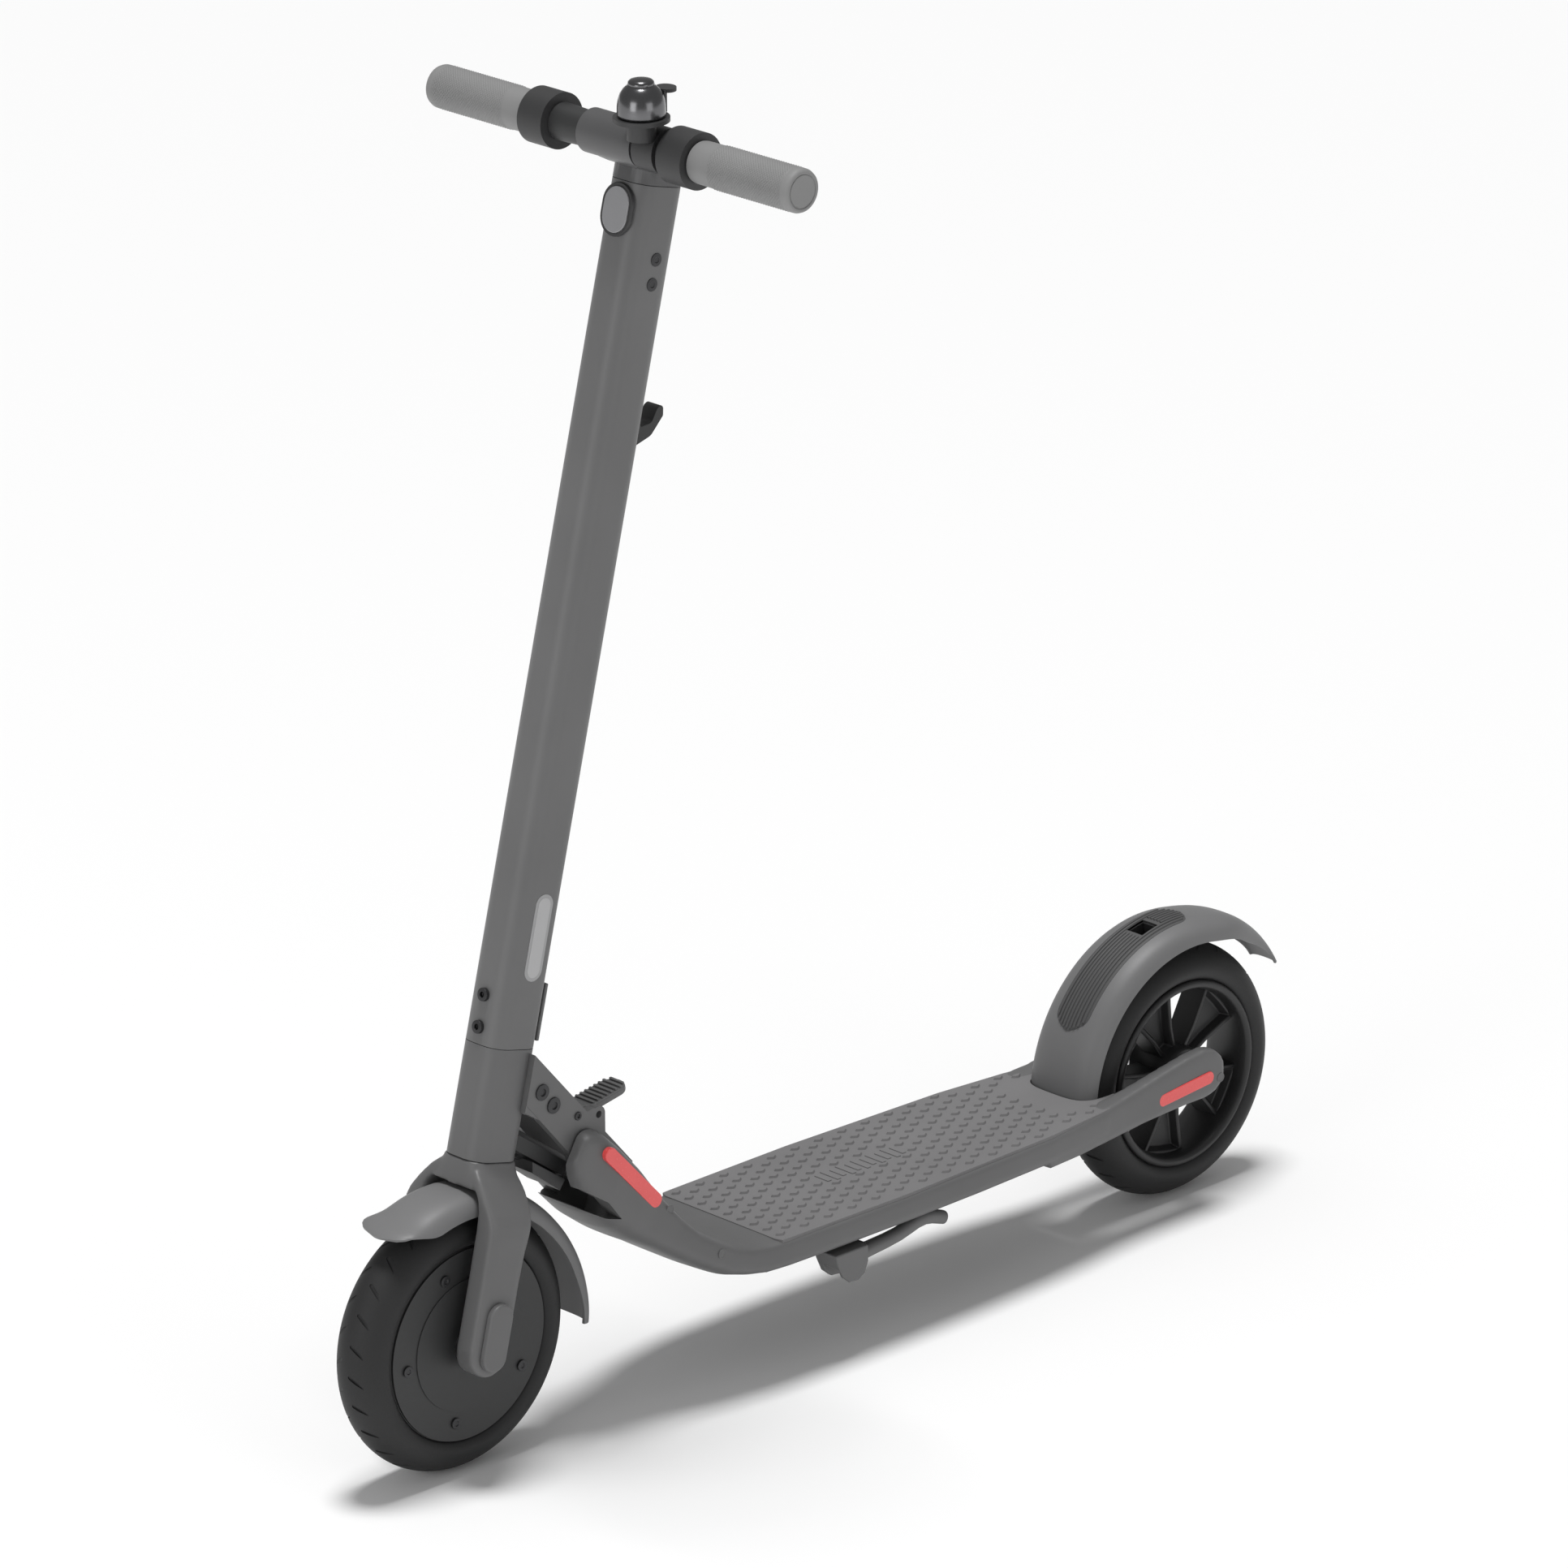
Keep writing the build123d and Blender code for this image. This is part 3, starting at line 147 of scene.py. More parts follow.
# ------------------------------------------------------------------ finishes
def finish_of(name, colour, roughness, grain=0.0, grain_size=400.0, mottle=0.06, metallic=0.0, coat=0.0,
              specular=0.5):
    """A surface with slight colour mottle, uneven gloss and a fine grain of the given depth in metres."""
    made = bpy.data.materials.new(name)
    made.use_nodes = True
    nodes = made.node_tree.nodes
    links = made.node_tree.links
    shader = nodes["Principled BSDF"]
    shader.inputs["Metallic"].default_value = metallic
    shader.inputs["Coat Weight"].default_value = coat
    shader.inputs["Coat Roughness"].default_value = 0.25
    shader.inputs["Specular IOR Level"].default_value = specular
    place = nodes.new("ShaderNodeTexCoord")
    patch = nodes.new("ShaderNodeTexNoise")
    patch.inputs["Scale"].default_value = 9.0
    patch.inputs["Detail"].default_value = 4.0
    links.new(place.outputs["Object"], patch.inputs["Vector"])
    tint = nodes.new("ShaderNodeValToRGB")
    tint.color_ramp.elements[0].position = 0.3
    tint.color_ramp.elements[1].position = 0.7
    tint.color_ramp.elements[0].color = [c * (1 - mottle) for c in colour] + [1]
    tint.color_ramp.elements[1].color = [min(c * (1 + mottle), 1) for c in colour] + [1]
    links.new(patch.outputs["Fac"], tint.inputs["Fac"])
    links.new(tint.outputs["Color"], shader.inputs["Base Color"])
    speck = nodes.new("ShaderNodeTexNoise")
    speck.inputs["Scale"].default_value = grain_size
    speck.inputs["Detail"].default_value = 2.0
    links.new(place.outputs["Object"], speck.inputs["Vector"])
    gloss = nodes.new("ShaderNodeMapRange")
    gloss.inputs["To Min"].default_value = max(roughness - 0.07, 0.02)
    gloss.inputs["To Max"].default_value = min(roughness + 0.07, 1)
    links.new(speck.outputs["Fac"], gloss.inputs["Value"])
    links.new(gloss.outputs["Result"], shader.inputs["Roughness"])
    if grain:
        bump = nodes.new("ShaderNodeBump")
        bump.inputs["Distance"].default_value = grain
        bump.inputs["Strength"].default_value = 0.6
        links.new(speck.outputs["Fac"], bump.inputs["Height"])
        links.new(bump.outputs["Normal"], shader.inputs["Normal"])
    return made


finishes = {
    "frame_paint": finish_of("satin_frame_paint", (0.125, 0.125, 0.126), 0.46, 0.00004, 900),
    "stem_paint": finish_of("satin_stem_paint", (0.14, 0.14, 0.141), 0.46, 0.00004, 900),
    "clamp_metal": finish_of("cast_clamp_paint", (0.10, 0.10, 0.102), 0.42, 0.00004, 900, metallic=0.2),
    "dark_metal": finish_of("dark_metal_paint", (0.028, 0.0285, 0.029), 0.5, 0.00004, 900),
    "rim_metal": finish_of("black_rim_paint", (0.014, 0.014, 0.0145), 0.45, 0.00004, 900),
    "steel": finish_of("turned_steel", (0.36, 0.36, 0.37), 0.3, 0.00002, 1200, metallic=1.0),
    "bare_aluminium": finish_of("bare_aluminium", (0.6, 0.6, 0.61), 0.35, 0.00003, 900, metallic=1.0),
    "black_plastic": finish_of("black_moulding", (0.035, 0.035, 0.036), 0.5, 0.00005, 1100),
    "grey_plastic": finish_of("grey_moulding", (0.165, 0.165, 0.167), 0.5, 0.00005, 1100),
    "gloss_black": finish_of("gloss_black_moulding", (0.012, 0.012, 0.013), 0.15, 0, 1100, coat=0.5),
    "tyre": finish_of("tyre_rubber", (0.012, 0.012, 0.0125), 0.62, 0.00006, 800),
    "grip_rubber": finish_of("grip_rubber", (0.25, 0.25, 0.25), 0.6, 0.00004, 1200),
    "mat_rubber": finish_of("mat_rubber", (0.175, 0.172, 0.175), 0.62, 0.00006, 900),
    "black_rubber": finish_of("black_rubber", (0.02, 0.02, 0.02), 0.65, 0.00006, 900),
    "reflector_red": finish_of("red_reflector", (0.86, 0.085, 0.085), 0.25, 0.0003, 500, coat=0.4),
    "bell_metal": finish_of("dark_bell_metal", (0.16, 0.16, 0.165), 0.22, 0, 900, metallic=1.0),
    "battery_wrap": finish_of("battery_wrap", (0.05, 0.12, 0.35), 0.4),
    "stator_core": finish_of("wound_core", (0.35, 0.18, 0.08), 0.4, metallic=0.8),
}
lens = finish_of("headlight_lens", (0.30, 0.30, 0.31), 0.12, 0.0, 900, coat=0.6)
finishes["lamp_lens"] = lens
finishes["pad_grey"] = finish_of("ribbed_pad", (0.075, 0.075, 0.076), 0.6, 0.00005, 900)
finishes["label_grey"] = finish_of("label_grey", (0.36, 0.36, 0.365), 0.5, 0.0, 900)
finishes["label_pale"] = finish_of("label_pale", (0.46, 0.46, 0.465), 0.5, 0.0, 900)
slot_of = {part["node"]: part["material_slot"] for part in frame["record"]["subparts"]}
for node, thing in frame["nodes"].items():
    thing.data.materials.clear()
    thing.data.materials.append(finishes[slot_of[node]])


def refine(node, edge=0.0006, material=None, sharp=32):
    """Stands for a hard CAD node with the same shape, smooth faces and softly broken edges."""
    mesh = frame["nodes"][node].data.copy()
    shape = bmesh.new()
    shape.from_mesh(mesh)
    bmesh.ops.remove_doubles(shape, verts=shape.verts, dist=0.000002)
    bmesh.ops.dissolve_limit(shape, angle_limit=math.radians(0.4), verts=shape.verts, edges=shape.edges,
                             use_dissolve_boundaries=False, delimit=set())
    for face in shape.faces:
        face.smooth = True
    shape.to_mesh(mesh)
    shape.free()
    mesh.name = node + "_finished"
    made = bpy.data.objects.new(node + "_finished", mesh)
    bpy.context.scene.collection.objects.link(made)
    mesh.materials.clear()
    mesh.materials.append(material or finishes[slot_of[node]])
    if edge:
        broken = made.modifiers.new("broken_edges", "BEVEL")
        broken.width = edge
        broken.segments = 2
        broken.limit_method = "ANGLE"
        broken.angle_limit = math.radians(sharp)
        broken.harden_normals = True
    mesh.set_sharp_from_angle(angle=math.radians(sharp))
    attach(made, node_body[node])
    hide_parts(node)
    return made


# ------------------------------------------------------------------ shaping tools
def piece(name, shape, finish, body, slot, *stands_for, smooth=40, recalc=True):
    """Turns a finished bmesh into a piece that rides on a body."""
    bmesh.ops.remove_doubles(shape, verts=shape.verts, dist=0.00001)
    if recalc:
        bmesh.ops.recalc_face_normals(shape, faces=shape.faces)
    for face in shape.faces:
        face.smooth = True
    mesh = bpy.data.meshes.new(name)
    shape.to_mesh(mesh)
    shape.free()
    mesh.materials.append(finish)
    mesh.set_sharp_from_angle(angle=math.radians(smooth))
    made = bpy.data.objects.new(name, mesh)
    bpy.context.scene.collection.objects.link(made)
    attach(made, body)
    if stands_for:
        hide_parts(*stands_for)
    return made


def soften(thing, width, segments=3, angle=35):
    """Rounds a piece's hard edges."""
    edge = thing.modifiers.new("rounded_edges", "BEVEL")
    edge.width = width
    edge.segments = segments
    edge.limit_method = "ANGLE"
    edge.angle_limit = math.radians(angle)
    edge.harden_normals = True
    return thing


def hoop(shape, count, place, half_width, high, low, soft_high=5.0, soft_low=5.0):
    """One rounded-box ring: half_width each side, high above and low below the centre of place."""
    made = bmesh.ops.create_circle(shape, cap_ends=False, radius=1.0, segments=count)["verts"]
    for vert in made:
        along, rise = vert.co.x, vert.co.y
        power = 2 / (soft_high if rise >= 0 else soft_low)
        width = math.copysign(abs(along) ** power, along) * half_width
        lift = math.copysign(abs(rise) ** power, rise) * (high if rise >= 0 else low)
        vert.co = place @ Vector((width, lift, 0))
    return list({edge for vert in made for edge in vert.link_edges})


def loft(shape, hoops, capped=True):
    """Joins rings in order and closes both ends."""
    for first, second in zip(hoops, hoops[1:]):
        bmesh.ops.bridge_loops(shape, edges=first + second)
    if capped:
        for end in (hoops[0], hoops[-1]):
            bmesh.ops.contextual_create(shape, geom=end)


def frame_at(origin, side, up):
    """A matrix whose X is side and Y is up, at origin."""
    ahead_way = side.cross(up).normalized()
    made = Matrix((side.normalized(), up.normalized(), ahead_way)).transposed().to_4x4()
    made.translation = origin
    return made


def turned(name, profile, origin, axis, start, finish, body, slot, *stands_for, steps=64, smooth=40):
    """A turned part: profile is (radius, height) pairs spun round axis at origin; start is a way
    square to axis."""
    shape = bmesh.new()
    verts = [shape.verts.new(origin + start * radius + axis * height) for radius, height in profile]
    edges = [shape.edges.new(pair) for pair in zip(verts, verts[1:])]
    bmesh.ops.spin(shape, geom=verts + edges, cent=origin, axis=axis, angle=math.tau, steps=steps,
                   use_merge=True)
    bmesh.ops.remove_doubles(shape, verts=shape.verts, dist=0.00002)
    return piece(name, shape, finish, body, slot, *stands_for, smooth=smooth)


def cut(thing, cutter):
    """Takes cutter's shape out of thing and keeps the result as thing's own mesh."""
    carve = thing.modifiers.new("carve", "BOOLEAN")
    carve.operation = "DIFFERENCE"
    carve.solver = "EXACT"
    carve.object = cutter
    graph = bpy.context.evaluated_depsgraph_get()
    carved = bpy.data.meshes.new_from_object(thing.evaluated_get(graph))
    thing.modifiers.clear()
    thing.data = carved
    bpy.data.objects.remove(cutter)
    return thing


def loose(name, shape):
    """A plain object for cutting with; it never stays in the scene."""
    bmesh.ops.recalc_face_normals(shape, faces=shape.faces)
    mesh = bpy.data.meshes.new(name)
    shape.to_mesh(mesh)
    shape.free()
    made = bpy.data.objects.new(name, mesh)
    bpy.context.scene.collection.objects.link(made)
    return made


def from_rear(x, z, y=0.0):
    """A point by its distance ahead of the rear axle and its height, in millimetres."""
    return Vector((rear_x + x / 1000, y / 1000, z / 1000))


# ------------------------------------------------------------------ tyres
def capsule(shape, centre, along, up, length, width, depth, steps=10):
    """A flat block with round ends: length along, width square to it, depth towards up, its base at
    centre."""
    side = along.cross(up).normalized()
    radius = width / 2
    reach = length / 2 - radius
    made = bmesh.ops.create_circle(shape, cap_ends=True, radius=radius, segments=4 * steps)["verts"]
    for vert in made:
        push = reach if vert.co.x > 0 else -reach
        vert.co = centre + along.normalized() * (vert.co.x + push) + side * vert.co.y
    face = made[0].link_faces[0]
    face.normal_update()
    grown = bmesh.ops.extrude_face_region(shape, geom=[face])["geom"]
    top = [part for part in grown if isinstance(part, bmesh.types.BMVert)]
    bmesh.ops.translate(shape, vec=up.normalized() * depth, verts=top)
    return top


def tyre(name, node, body, centre):
    """The plain tyre with slanted grooves cut round both shoulders."""
    shape = bmesh.new()
    shape.from_mesh(frame["nodes"][node].data)
    made = piece(name, shape, finishes["tyre"], body, "tyre", node, recalc=False, smooth=50)
    grooves = bmesh.new()
    count = 27
    for number in range(count):
        for hand in (-1, 1):
            angle = math.tau * (number + (0.5 if hand < 0 else 0)) / count
            rim_way = Vector((math.cos(angle), 0, -math.sin(angle)))
            out = Vector((math.sin(angle), 0, math.cos(angle)))
            along = (across * hand * 0.82 + rim_way * 0.57 - out * 0.30).normalized()
            up_way = (out - along * out.dot(along)).normalized()
            middle = centre + out * 0.1108 + across * (hand * 0.0128)
            capsule(grooves, middle - up_way * 0.0008, along, up_way, 0.0225, 0.0032, 0.006, 4)
    return cut(made, loose("groove_cutter", grooves))


tyre("front_tyre_treaded", "front_tyre", "front_wheel", front_axle)
tyre("rear_tyre_treaded", "rear_tyre", "rear_wheel", rear_axle)


# ------------------------------------------------------------------ grips
def grip(name, node, hand):
    """A round rubber grip with raised diamonds and a dished end cap."""
    inner = bar + across * (hand * 0.0957)
    profile = [(0.0161, 0.0), (0.0172, 0.0006), (0.0176, 0.003), (0.0178, 0.020), (0.0180, 0.024)]
    shape = bmesh.new()
    out = across * hand
    verts = [shape.verts.new(inner + up_stem * radius + out * height) for radius, height in profile]
    edges = [shape.edges.new(pair) for pair in zip(verts, verts[1:])]
    bmesh.ops.spin(shape, geom=verts + edges, cent=inner, axis=out, angle=math.tau, steps=48, use_merge=True)
    end = [(0.0180, 0.1075), (0.0183, 0.109), (0.0182, 0.1125), (0.0172, 0.1150), (0.0158, 0.1158),
           (0.0146, 0.1156), (0.0140, 0.1148), (0.0135, 0.1148), (0.0131, 0.1154), (0.0, 0.1154)]
    verts = [shape.verts.new(inner + up_stem * radius + out * height) for radius, height in end]
    edges = [shape.edges.new(pair) for pair in zip(verts, verts[1:])]
    bmesh.ops.spin(shape, geom=verts + edges, cent=inner, axis=out, angle=math.tau, steps=48, use_merge=True)
    made = piece(name + "_body", shape, finishes["grip_rubber"], "steering", "grip_rubber", node)
    knurl = bmesh.new()
    rows = 30
    pitch = 0.0835 / rows
    start = inner + out * 0.024
    verts = [knurl.verts.new(start + up_stem * 0.0180 + out * pitch * row) for row in range(rows + 1)]
    edges = [knurl.edges.new(pair) for pair in zip(verts, verts[1:])]
    bmesh.ops.spin(knurl, geom=verts + edges, cent=start, axis=out, angle=math.tau, steps=40, use_merge=True)
    bmesh.ops.remove_doubles(knurl, verts=knurl.verts, dist=0.00001)
    bmesh.ops.recalc_face_normals(knurl, faces=knurl.faces)
    old = [edge for edge in knurl.edges if len(edge.link_faces) == 2]
    bmesh.ops.poke(knurl, faces=list(knurl.faces), offset=0)
    bmesh.ops.dissolve_edges(knurl, edges=old, use_verts=False)
    inside = [face for face in knurl.faces if len(face.verts) == 4]
    bmesh.ops.inset_individual(knurl, faces=inside, thickness=0.00055, depth=0.0005, use_even_offset=True)
    skin = piece(name + "_diamonds", knurl, finishes["grip_rubber"], "steering", "grip_rubber", smooth=70)
    return made, skin


grip("left_grip", "grip_left", 1)
grip("right_grip", "grip_right", -1)

# ------------------------------------------------------------------ foot mat
mat_top = 0.1296


def deck_half(x):
    """Half the deck's width in millimetres at x ahead of the rear axle."""
    stations = [(100, 58), (138, 64.5), (210, 72), (386, 77.5), (522, 76), (567, 71), (612, 63.5)]
    for (x0, w0), (x1, w1) in zip(stations, stations[1:]):
        if x <= x1:
            return w0 + (w1 - w0) * (x - x0) / (x1 - x0)
    return stations[-1][1]


mat_shape = bmesh.new()
line = [(x, deck_half(x) - 2.6) for x in (112, 138, 170, 210, 260, 320, 386, 450, 522)]
rim = [(104, 40), (106, 50), (109, 55)] + line + [(531, 73), (534, 66)]
corners = [mat_shape.verts.new(from_rear(x, 126.0, y)) for x, y in rim + [(x, -y) for x, y in reversed(rim)]]
sheet = mat_shape.faces.new(corners)
grown = bmesh.ops.extrude_face_region(mat_shape, geom=[sheet])["geom"]
bmesh.ops.translate(mat_shape, vec=(0, 0, 0.0036),
                    verts=[part for part in grown if isinstance(part, bmesh.types.BMVert)])
foot_mat = piece("foot_mat", mat_shape, finishes["mat_rubber"], "deck", "mat_rubber", "deck_mat")

studs = bmesh.new()
outline = [(-5.6, -0.6), (-4.6, -2.2), (-0.5, -3.0), (3.8, -2.6), (5.6, -1.2), (4.6, 0.6), (1.2, 3.0),
           (-0.6, 3.0),
           (-4.2, 0.8)]
for row in range(-8, 9):
    for column in range(-10, 10):
        x = 329.6 + 27.75 * column + (13.9 if row % 2 else 0)
        y = row * 7.9
        lift = 0 if x < 540 else (x - 540) ** 2 * 0.006
        if x < 122 or x > 530 or abs(y) > deck_half(x) - 9 or (x < 172 and abs(y) < 50 - (x - 122) * 0.3):
            continue
        if 318 < x < 422 and abs(y) < 14:
            continue
        verts = [studs.verts.new(from_rear(x + dx, 0, y + dy) + Vector((0, 0, mat_top - 0.0001))) for dx,
                 dy in outline]
        face = studs.faces.new(verts)
        face.normal_update()
        if face.normal.z < 0:
            face.normal_flip()
        bmesh.ops.inset_region(studs, faces=[face], thickness=0.0010, depth=0.0019, use_even_offset=True,
                               use_boundary=True)
piece("mat_studs", studs, finishes["mat_rubber"], "deck", "mat_rubber", recalc=False, smooth=60)

bars = bmesh.new()
for number in range(11):
    slab = bmesh.ops.create_cube(bars, size=1)["verts"]
    tall = 0.022 if number % 2 else 0.017
    bmesh.ops.scale(bars, vec=(0.0046, tall, 0.0012), verts=slab)
    bmesh.ops.translate(bars, vec=from_rear(326 + number * 8.8, 129.9), verts=slab)
panel = piece("mat_grip_bars", bars, finishes["mat_rubber"], "deck", "mat_rubber")
soften(panel, 0.0006)

# ------------------------------------------------------------------ shapes that flow into each other
def merged(thing, grain, passes):
    """Runs a piece's overlapping shells together into one skin and rounds where they meet."""
    skin = thing.modifiers.new("one_skin", "REMESH")
    skin.mode = "VOXEL"
    skin.voxel_size = grain
    round_off = thing.modifiers.new("round_off", "SMOOTH")
    round_off.factor = 0.5
    round_off.iterations = passes
    graph = bpy.context.evaluated_depsgraph_get()
    skinned = bpy.data.meshes.new_from_object(thing.evaluated_get(graph))
    thing.modifiers.clear()
    thing.data = skinned
    for face in skinned.polygons:
        face.use_smooth = True
    return thing


def slab(shape, corners, low, high):
    """A block with the given side outline, (x, z) in metres, from y = low to y = high."""
    verts = [shape.verts.new((x, low, z)) for x, z in corners]
    face = shape.faces.new(verts)
    grown = bmesh.ops.extrude_face_region(shape, geom=[face])["geom"]
    moved = [part for part in grown if isinstance(part, bmesh.types.BMVert)]
    bmesh.ops.translate(shape, vec=(0, high - low, 0), verts=moved)


# ------------------------------------------------------------------ fork
fork_shape = bmesh.new()
crown = []
for s, width, front, back, soft in ((0.1525, 22.5, 26, 26, 4.0), (0.149, 23.4, 26, 26, 4.0),
                                    (0.142, 28.5, 26.5, 26, 4.0),
                                    (0.136, 33.5, 27, 25.5, 4.0), (0.1305, 38.0, 27, 25, 4.0)):
    crown.append(hoop(fork_shape, 40, frame_at(on_stem(s, 0), across, ahead), width / 1000, front / 1000,
                      back / 1000,
                      soft, soft))
loft(fork_shape, crown)
for hand in (-1, 1):
    leg = []
    for s, inner, outer, front, back in (
            (0.146, 10, 24, 24, 20), (0.140, 16, 30.5, 26, 22), (0.132, 24, 37.5, 26.5, 23),
            (0.124, 30, 44, 26.5, 23),
            (0.115, 31.6, 51, 26, 22), (0.107, 31.6, 54.8, 25.5, 20.5), (0.098, 31.6, 55.9, 25, 19),
            (0.085, 31.6, 55.6, 24.8, 17.5),
            (0.060, 31.6, 55.6, 24.5, 16.5), (0.030, 31.6, 55.6, 24.5, 16.5), (0.0, 31.6, 55.6, 24.5, 16.5),
            (-0.0095, 31.6, 55.4, 22.2, 14.2), (-0.0155, 32, 55, 17.4, 9.4), (-0.0190, 32.6, 54.2, 11.6, 3.6),
            (-0.0203, 34, 52.5, 6.5, -1.5)):
        place = frame_at(on_stem(s, (front - back) / 2000, hand * (inner + outer) / 2000), across, ahead)
        reach = (front + back) / 2000
        leg.append(hoop(fork_shape, 40, place, (outer - inner) / 2000, reach, reach, 5.5, 5.5))
    loft(fork_shape, leg)
fork = piece("fork_cast", fork_shape, finishes["frame_paint"], "steering", "frame_paint", "fork")
merged(fork, 0.0015, 6)

# ------------------------------------------------------------------ deck frame, neck and rear arms
frame_shape = bmesh.new()
sections = [
    (104, 128.2, 104, 118, 55), (112, 128.5, 112, 106, 58.5), (122, 128.6, 122, 100, 61.5),
    (138, 128.7, 138, 98, 64.5), (170, 128.8, 170, 97.8, 68.5),
    (210, 128.8, 210, 97.6, 72), (300, 128.8, 300, 97.5, 75.8), (386, 128.8, 386, 97.5, 77.5),
    (470, 128.8, 470, 97.5, 77.3), (522, 128.8, 522, 97.5, 76), (545, 129, 544, 97.8, 74),
    (562, 130.8, 562, 99, 71.5), (578, 135, 584, 105, 69), (592, 142.5, 606, 117, 65.8),
    (606, 153.5, 628, 130.5, 61),
    (622, 171, 650, 144.5, 55.8), (642, 196, 673, 157.5, 52.2), (662, 224, 695, 174, 51.2),
    (682, 247, 713, 192.5, 50.5),
    (698, 262.5, 724, 207, 48.8), (707, 268, 731, 219.5, 46.5), (715, 269, 735.5, 231, 43.5),
    (721, 266.5, 736.5, 241, 40)]
rings = []
for top_x, top_z, low_x, low_z, width in sections:
    top, low = from_rear(top_x, top_z), from_rear(low_x, low_z)
    place = frame_at((top + low) / 2, across, top - low)
    half = (top - low).length / 2
    rings.append(hoop(frame_shape, 72, place, width / 1000, half, half, 9.0 if top_x < 600 else 5.0,
                      3.4 if top_x < 560 else 2.8))
loft(frame_shape, rings)
for hand in (-1, 1):
    arm = []
    for x, low, high, inner, outer in (
            (210, 98.2, 128.4, 44, 70.5), (170, 98.3, 128.6, 43, 67.8), (140, 98.8, 129.4, 42.5, 64.2),
            (112, 99.8, 132.2, 42, 61.2),
            (85, 101, 136.2, 42, 59.6), (55, 102.2, 141.2, 42, 58.6), (28, 102.6, 145.6, 42, 58.1),
            (7, 102.5, 147.5, 42, 58),
            (-4.3, 105.5, 144.5, 42, 58), (-11.4, 112.1, 137.9, 42.2, 57.8), (-14.7, 119.2, 130.8, 42.8, 57),
            (-15.4, 123, 127, 44, 55.5)):
        place = frame_at(from_rear(x, (low + high) / 2, hand * (inner + outer) / 2), across,
                         Vector((0, 0, 1)))
        half = (high - low) / 2000
        arm.append(hoop(frame_shape, 48, place, (outer - inner) / 2000, half, half, 6.0, 6.0))
    loft(frame_shape, arm)
deck = piece("deck_frame_cast", frame_shape, finishes["frame_paint"], "deck", "frame_paint", "deck_frame",
             "neck_cover_left",
             "neck_cover_right")
merged(deck, 0.0021, 4)

well = bmesh.new()
px, pz = 672.15, 213.0
slab(well, [(from_rear(x, z).x, from_rear(x, z).z) for x, z in (
    (px - 24, pz - 14), (px - 24, pz + 90), (px + 95, pz + 90), (px + 95, pz + 0), (px + 52, pz - 6),
    (px + 30, pz - 24),
    (px + 14, pz - 39), (px - 12, pz - 50))], -0.0302, 0.0302)
cut(deck, loose("well_cutter", well))


def wheel_room(gap):
    """A cutter that follows the rear fender's outside, gap metres away from it."""
    shape = bmesh.new()
    verts = []
    for step in range(-12, 13):
        share = step / 12
        width = (rear_half + gap) * math.sin(share * math.pi / 2)
        verts.append(shape.verts.new(rear_axle + Vector((rear_crown + gap - 0.030 * abs(share) ** 3.2, width,
                                                         0))))
    verts = [shape.verts.new(rear_axle + Vector((0.002, -rear_half - gap, 0)))] + verts
    verts.append(shape.verts.new(rear_axle + Vector((0.002, rear_half + gap, 0))))
    edges = [shape.edges.new(pair) for pair in zip(verts, verts[1:])]
    bmesh.ops.spin(shape, geom=verts + edges, cent=rear_axle, axis=(0, 1, 0), angle=math.tau, steps=120,
                   use_merge=True)
    bmesh.ops.remove_doubles(shape, verts=shape.verts, dist=0.00002)
    bmesh.ops.holes_fill(shape, edges=[edge for edge in shape.edges if edge.is_boundary])
    return loose("wheel_room_cutter", shape)


cut(deck, wheel_room(0.0022))
cut(foot_mat, wheel_room(0.0016))
soften(foot_mat, 0.0009)
slit = bmesh.new()
slab(slit, [(from_rear(x, z).x, from_rear(x, z).z) for x, z in (
    (689, 187), (700, 188.5), (720, 199.5), (748, 219), (748, 232), (724, 220), (704, 206))], -0.07, 0.07)
cut(deck, loose("mouth_cutter", slit))
for face in deck.data.polygons:
    face.use_smooth = True
deck.data.set_sharp_from_angle(angle=math.radians(38))

# red reflectors on the neck and on the rear arms
for hand in (-1, 1):
    lit = bmesh.new()
    slant = Vector((math.cos(math.radians(47.6)), 0, math.sin(math.radians(47.6))))
    capsule(lit, from_rear(679, 222, hand * 47), slant, across * hand, 0.086, 0.0126, 0.0052)
    flat = Vector((math.cos(math.radians(-4.8)), 0, math.sin(math.radians(-4.8))))
    capsule(lit, from_rear(34, 119.3, hand * 55), flat, across * hand, 0.068, 0.0115, 0.0041)
    soften(piece("reflectors_left" if hand > 0 else "reflectors_right", lit, finishes["reflector_red"],
                 "deck",
                 "reflector_red", *(["side_reflectors"] if hand > 0 else [])), 0.0008)


